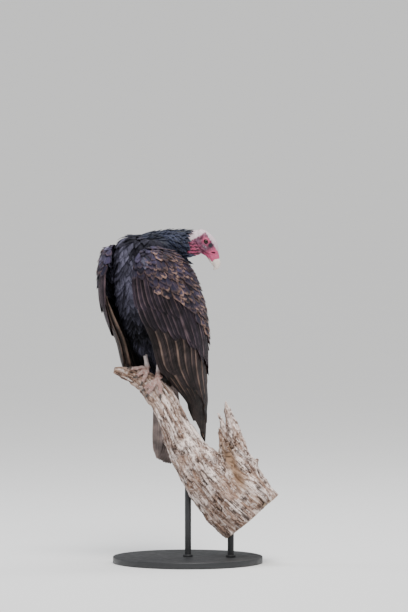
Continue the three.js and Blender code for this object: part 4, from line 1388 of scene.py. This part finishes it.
def makePerch():
    parts = [limb(branchShape["line"], 64, 100, 0.08, 0), limb(branchShape["log"], 56, 40, 0.06, 1),
             limb(branchShape["knot"], 32, 20, 0.12, 0)]
    parts += [limb(points, 24, 40, 0.1, i) for i, points in enumerate(branchShape["spikes"])]
    wood = evenOut(joinPieces(parts, "perch_wood"), perchLook["voxel"], 3)
    activate(wood)
    bpy.ops.object.mode_set(mode="EDIT")
    bpy.ops.mesh.select_all(action="SELECT")
    cutAt, cutFace = inRow(along(*branchShape["cutAt"])), along(*branchShape["cutFace"])
    bpy.ops.mesh.bisect(plane_co=cutAt, plane_no=cutFace, use_fill=True, clear_outer=True)
    deselect()
    points, normals = pointsOf(wood), pointsOf(wood, "normal")
    bird = toBird(points)
    s, z = bird @ heading, bird[:, 2]
    # the grain runs along the nearest stretch of the branch
    nearest = np.concatenate([np.linalg.norm(bird[start:start + 4000, None] - branchTable[None, ::3], axis=2)
                             .argmin(axis=1) * 3 for start in range(0, len(bird), 4000)])
    lateral, upward = squareTo(behind, lineSlope(branchTable, nearest / (len(branchTable) - 1)))
    off = bird - branchTable[nearest]
    grain = np.stack((np.sum(off * lateral, axis=1), np.sum(off * upward, axis=1),
                      runAlong(branchTable)[nearest] * 0.13), axis=1)
    onCut = ((points - cutAt) @ cutFace) > -0.0008
    ridge, broad = noiseAt(grain, 5.5, 1.0), noiseAt(grain, 13.0, 4.0)
    patches = noiseAt(bird, 9.0, 6.0)
    crack = ramp(0.20, 0.02, np.abs(ridge)) * ramp(-0.2, 0.12, noiseAt(bird, 26, 7.0))
    rise = noiseAt(bird, 30.0, 2.0) * perchLook["lump"] + patches * 0.7
    rise += ramp(0.02, 0.1, broad) * perchLook["flake"]
    rise += noiseAt(bird, 2.6, 8.0) * perchLook["fine"] + noiseAt(grain, 1.6, 3.0) * 0.3
    peel = ramp(0.05, 0.12, noiseAt(grain * (1, 1, 2.2), 17.0, 15.0)) * ramp(380, 330, z)
    rise = (rise + peel * perchLook["peel"] - crack * perchLook["crack"]) * ~onCut
    # the dark hollow between the broken stems, and the pit by the cut
    facing = ramp(0.1, 0.6, -(normals @ behind))
    hs, hz, hw, hh, depth = perchLook["hollow"]
    well = np.exp(-hill(s + (z - hz) * 0.45, hs, hw) - hill(z, hz, hh) ** 2) * facing
    ps, pz, pw, ph, pitDeep = perchLook["pit"]
    pit = np.exp(-hill(s, ps, pw) - hill(z, pz, ph)) * ramp(-0.3, 0.2, facing - 0.3)
    rise = rise - well * depth * (0.8 + 0.5 * ridge) - pit * pitDeep * (0.8 + 0.6 * ridge)
    narrow = ramp(2, 14, np.linalg.norm(off, axis=1))
    setPoints(wood, points + normals * (rise * narrow * mm)[:, None])
    vector = wood.data.attributes.new("grain", "FLOAT_VECTOR", "POINT")
    vector.data.foreach_set("vector", (grain * mm).astype(np.float32).ravel())
    worn = ramp(0.0, 0.28, noiseAt(bird, 40, 12.0) + 0.25 * ridge) + ramp(330, 420, z) * 0.45 - 0.3 * peel
    # painted shade: the cracks and low patches, the pit and the hollow are painted darker
    paint(wood, crack=np.clip(crack + 0.4 * ramp(0.0, -0.3, patches) * ramp(0.0, 0.3, broad), 0, 1),
          worn=np.clip(worn, 0, 1), pit=np.clip(pit * 1.3, 0, 1), hollow=np.clip(well * 1.3, 0, 1),
          sawn=onCut)
    return wood


def deadWood():
    material, coords, grain = newMaterial("deadWood"), objectCoords(), attribute("grain", "Vector")
    fibre, bands = noiseOf(grain, 420.0, 6.0, 0.65), noiseOf(grain, 90.0, 4.0, 0.6)
    streaks, spots = noiseOf(grain, 165.0, 5.0, 0.6), noiseOf(coords, 130.0, 5.0, 0.65)
    fine = noiseOf(coords, 700.0, 4.0, 0.6)
    # painted shade in the hollow: dark brown, with paler fibres
    hollowShade = layered((0.17, 0.095, 0.058), (fibre, (0.40, 0.27, 0.18)))
    sawn = layered((0.42, 0.30, 0.20), (bands, (0.55, 0.42, 0.30)))
    base = layered((0.36, 0.250, 0.205), (spread(bands, 0.38, 0.62), (0.96, 0.82, 0.76)),
                   (times(attribute("worn"), 0.75), (0.30, 0.175, 0.115)),
                   (spread(streaks, 0.46, 0.38, 0.0, 0.85), (0.12, 0.075, 0.058)),
                   (spread(streaks, 0.56, 0.66, 0.0, 0.7), (0.94, 0.84, 0.80)),
                   (spread(fibre, 0.50, 0.36, 0.0, 0.95), (0.12, 0.070, 0.050)),
                   (spread(spots, 0.54, 0.62, 0.0, 0.75), (0.11, 0.07, 0.058)),
                   (spread(spots, 0.44, 0.34, 0.0, 0.6), (0.88, 0.78, 0.75)),
                   # painted shade: darker in the pit, the hollow and the cracks
                   (times(attribute("pit"), 0.9), (0.10, 0.062, 0.045)), (attribute("hollow"), hollowShade),
                   (times(attribute("crack"), 0.92), (0.035, 0.022, 0.018)), (attribute("sawn"), sawn))
    height = timesPlus(fibre, 0.6, times(fine, 0.4))
    setShader(base, spread(fine, 0.3, 0.7, 0.72, 0.92), 0.25, height, 0.9, 0.0016)
    return material


perch = makePerch()
shadeSmooth(perch, 50)
finishPiece(perch, deadWood(), ["perch_branch"])
print("perch:", len(perch.data.polygons))

# stand and floor
standLook = {
    # radius, foot, top, bevel and sides
    "plate": (165, 0, 14, 1.6, 160), "collar": (11, 14, 19, 1.2, 64),
    "rodRadius": 7, "rodBevel": 0.4, "rodSides": 48,
}


def turned(name, centre, radius, low, high, bevel, sides):
    # an upright disc or rod with softened rims
    deselect()
    middle = (centre[0] * mm, centre[1] * mm, (low + high) / 2 * mm)
    bpy.ops.mesh.primitive_cylinder_add(vertices=sides, radius=radius * mm, depth=(high - low) * mm,
                                        location=middle)
    obj = bpy.context.object
    obj.name = name
    bpy.ops.object.transform_apply(location=True, rotation=True, scale=True)
    modify(obj, "BEVEL", width=bevel * mm, segments=3, limit_method="ANGLE")
    shadeSmooth(obj, 35)
    return obj


steel, coords = newMaterial("paintedSteel"), objectCoords()
speckle = noiseOf(coords, 1400.0, 2.0)
setShader(layered((0.016, 0.017, 0.019), (speckle, (0.032, 0.033, 0.036))),
          spread(noiseOf(coords, 60.0), 0.3, 0.7, 0.42, 0.55), 0.5, speckle, 0.25, 0.0003)
finishPiece(turned("stand_plate", (0, 0), *standLook["plate"]), steel, ["stand_base"])
for name in ("stand_rod_tall", "stand_rod_short"):
    low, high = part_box(name)
    centre = ((low.x + high.x) / 2 / mm, (low.y + high.y) / 2 / mm)
    rod = turned(f"{name}_turned", centre, standLook["rodRadius"], standLook["plate"][2], high.z / mm,
                 standLook["rodBevel"], standLook["rodSides"])
    collar = turned("collar", centre, *standLook["collar"])
    finishPiece(joinPieces([rod, collar], f"{name}_turned"), steel, [name])

pale = newMaterial("paleFloor")
setShader(layered((0.78, 0.785, 0.79), (noiseOf(objectCoords(), 3.0, 2.0), (0.80, 0.805, 0.81))), 0.9, 0.1)
floor.data.materials.append(pale)
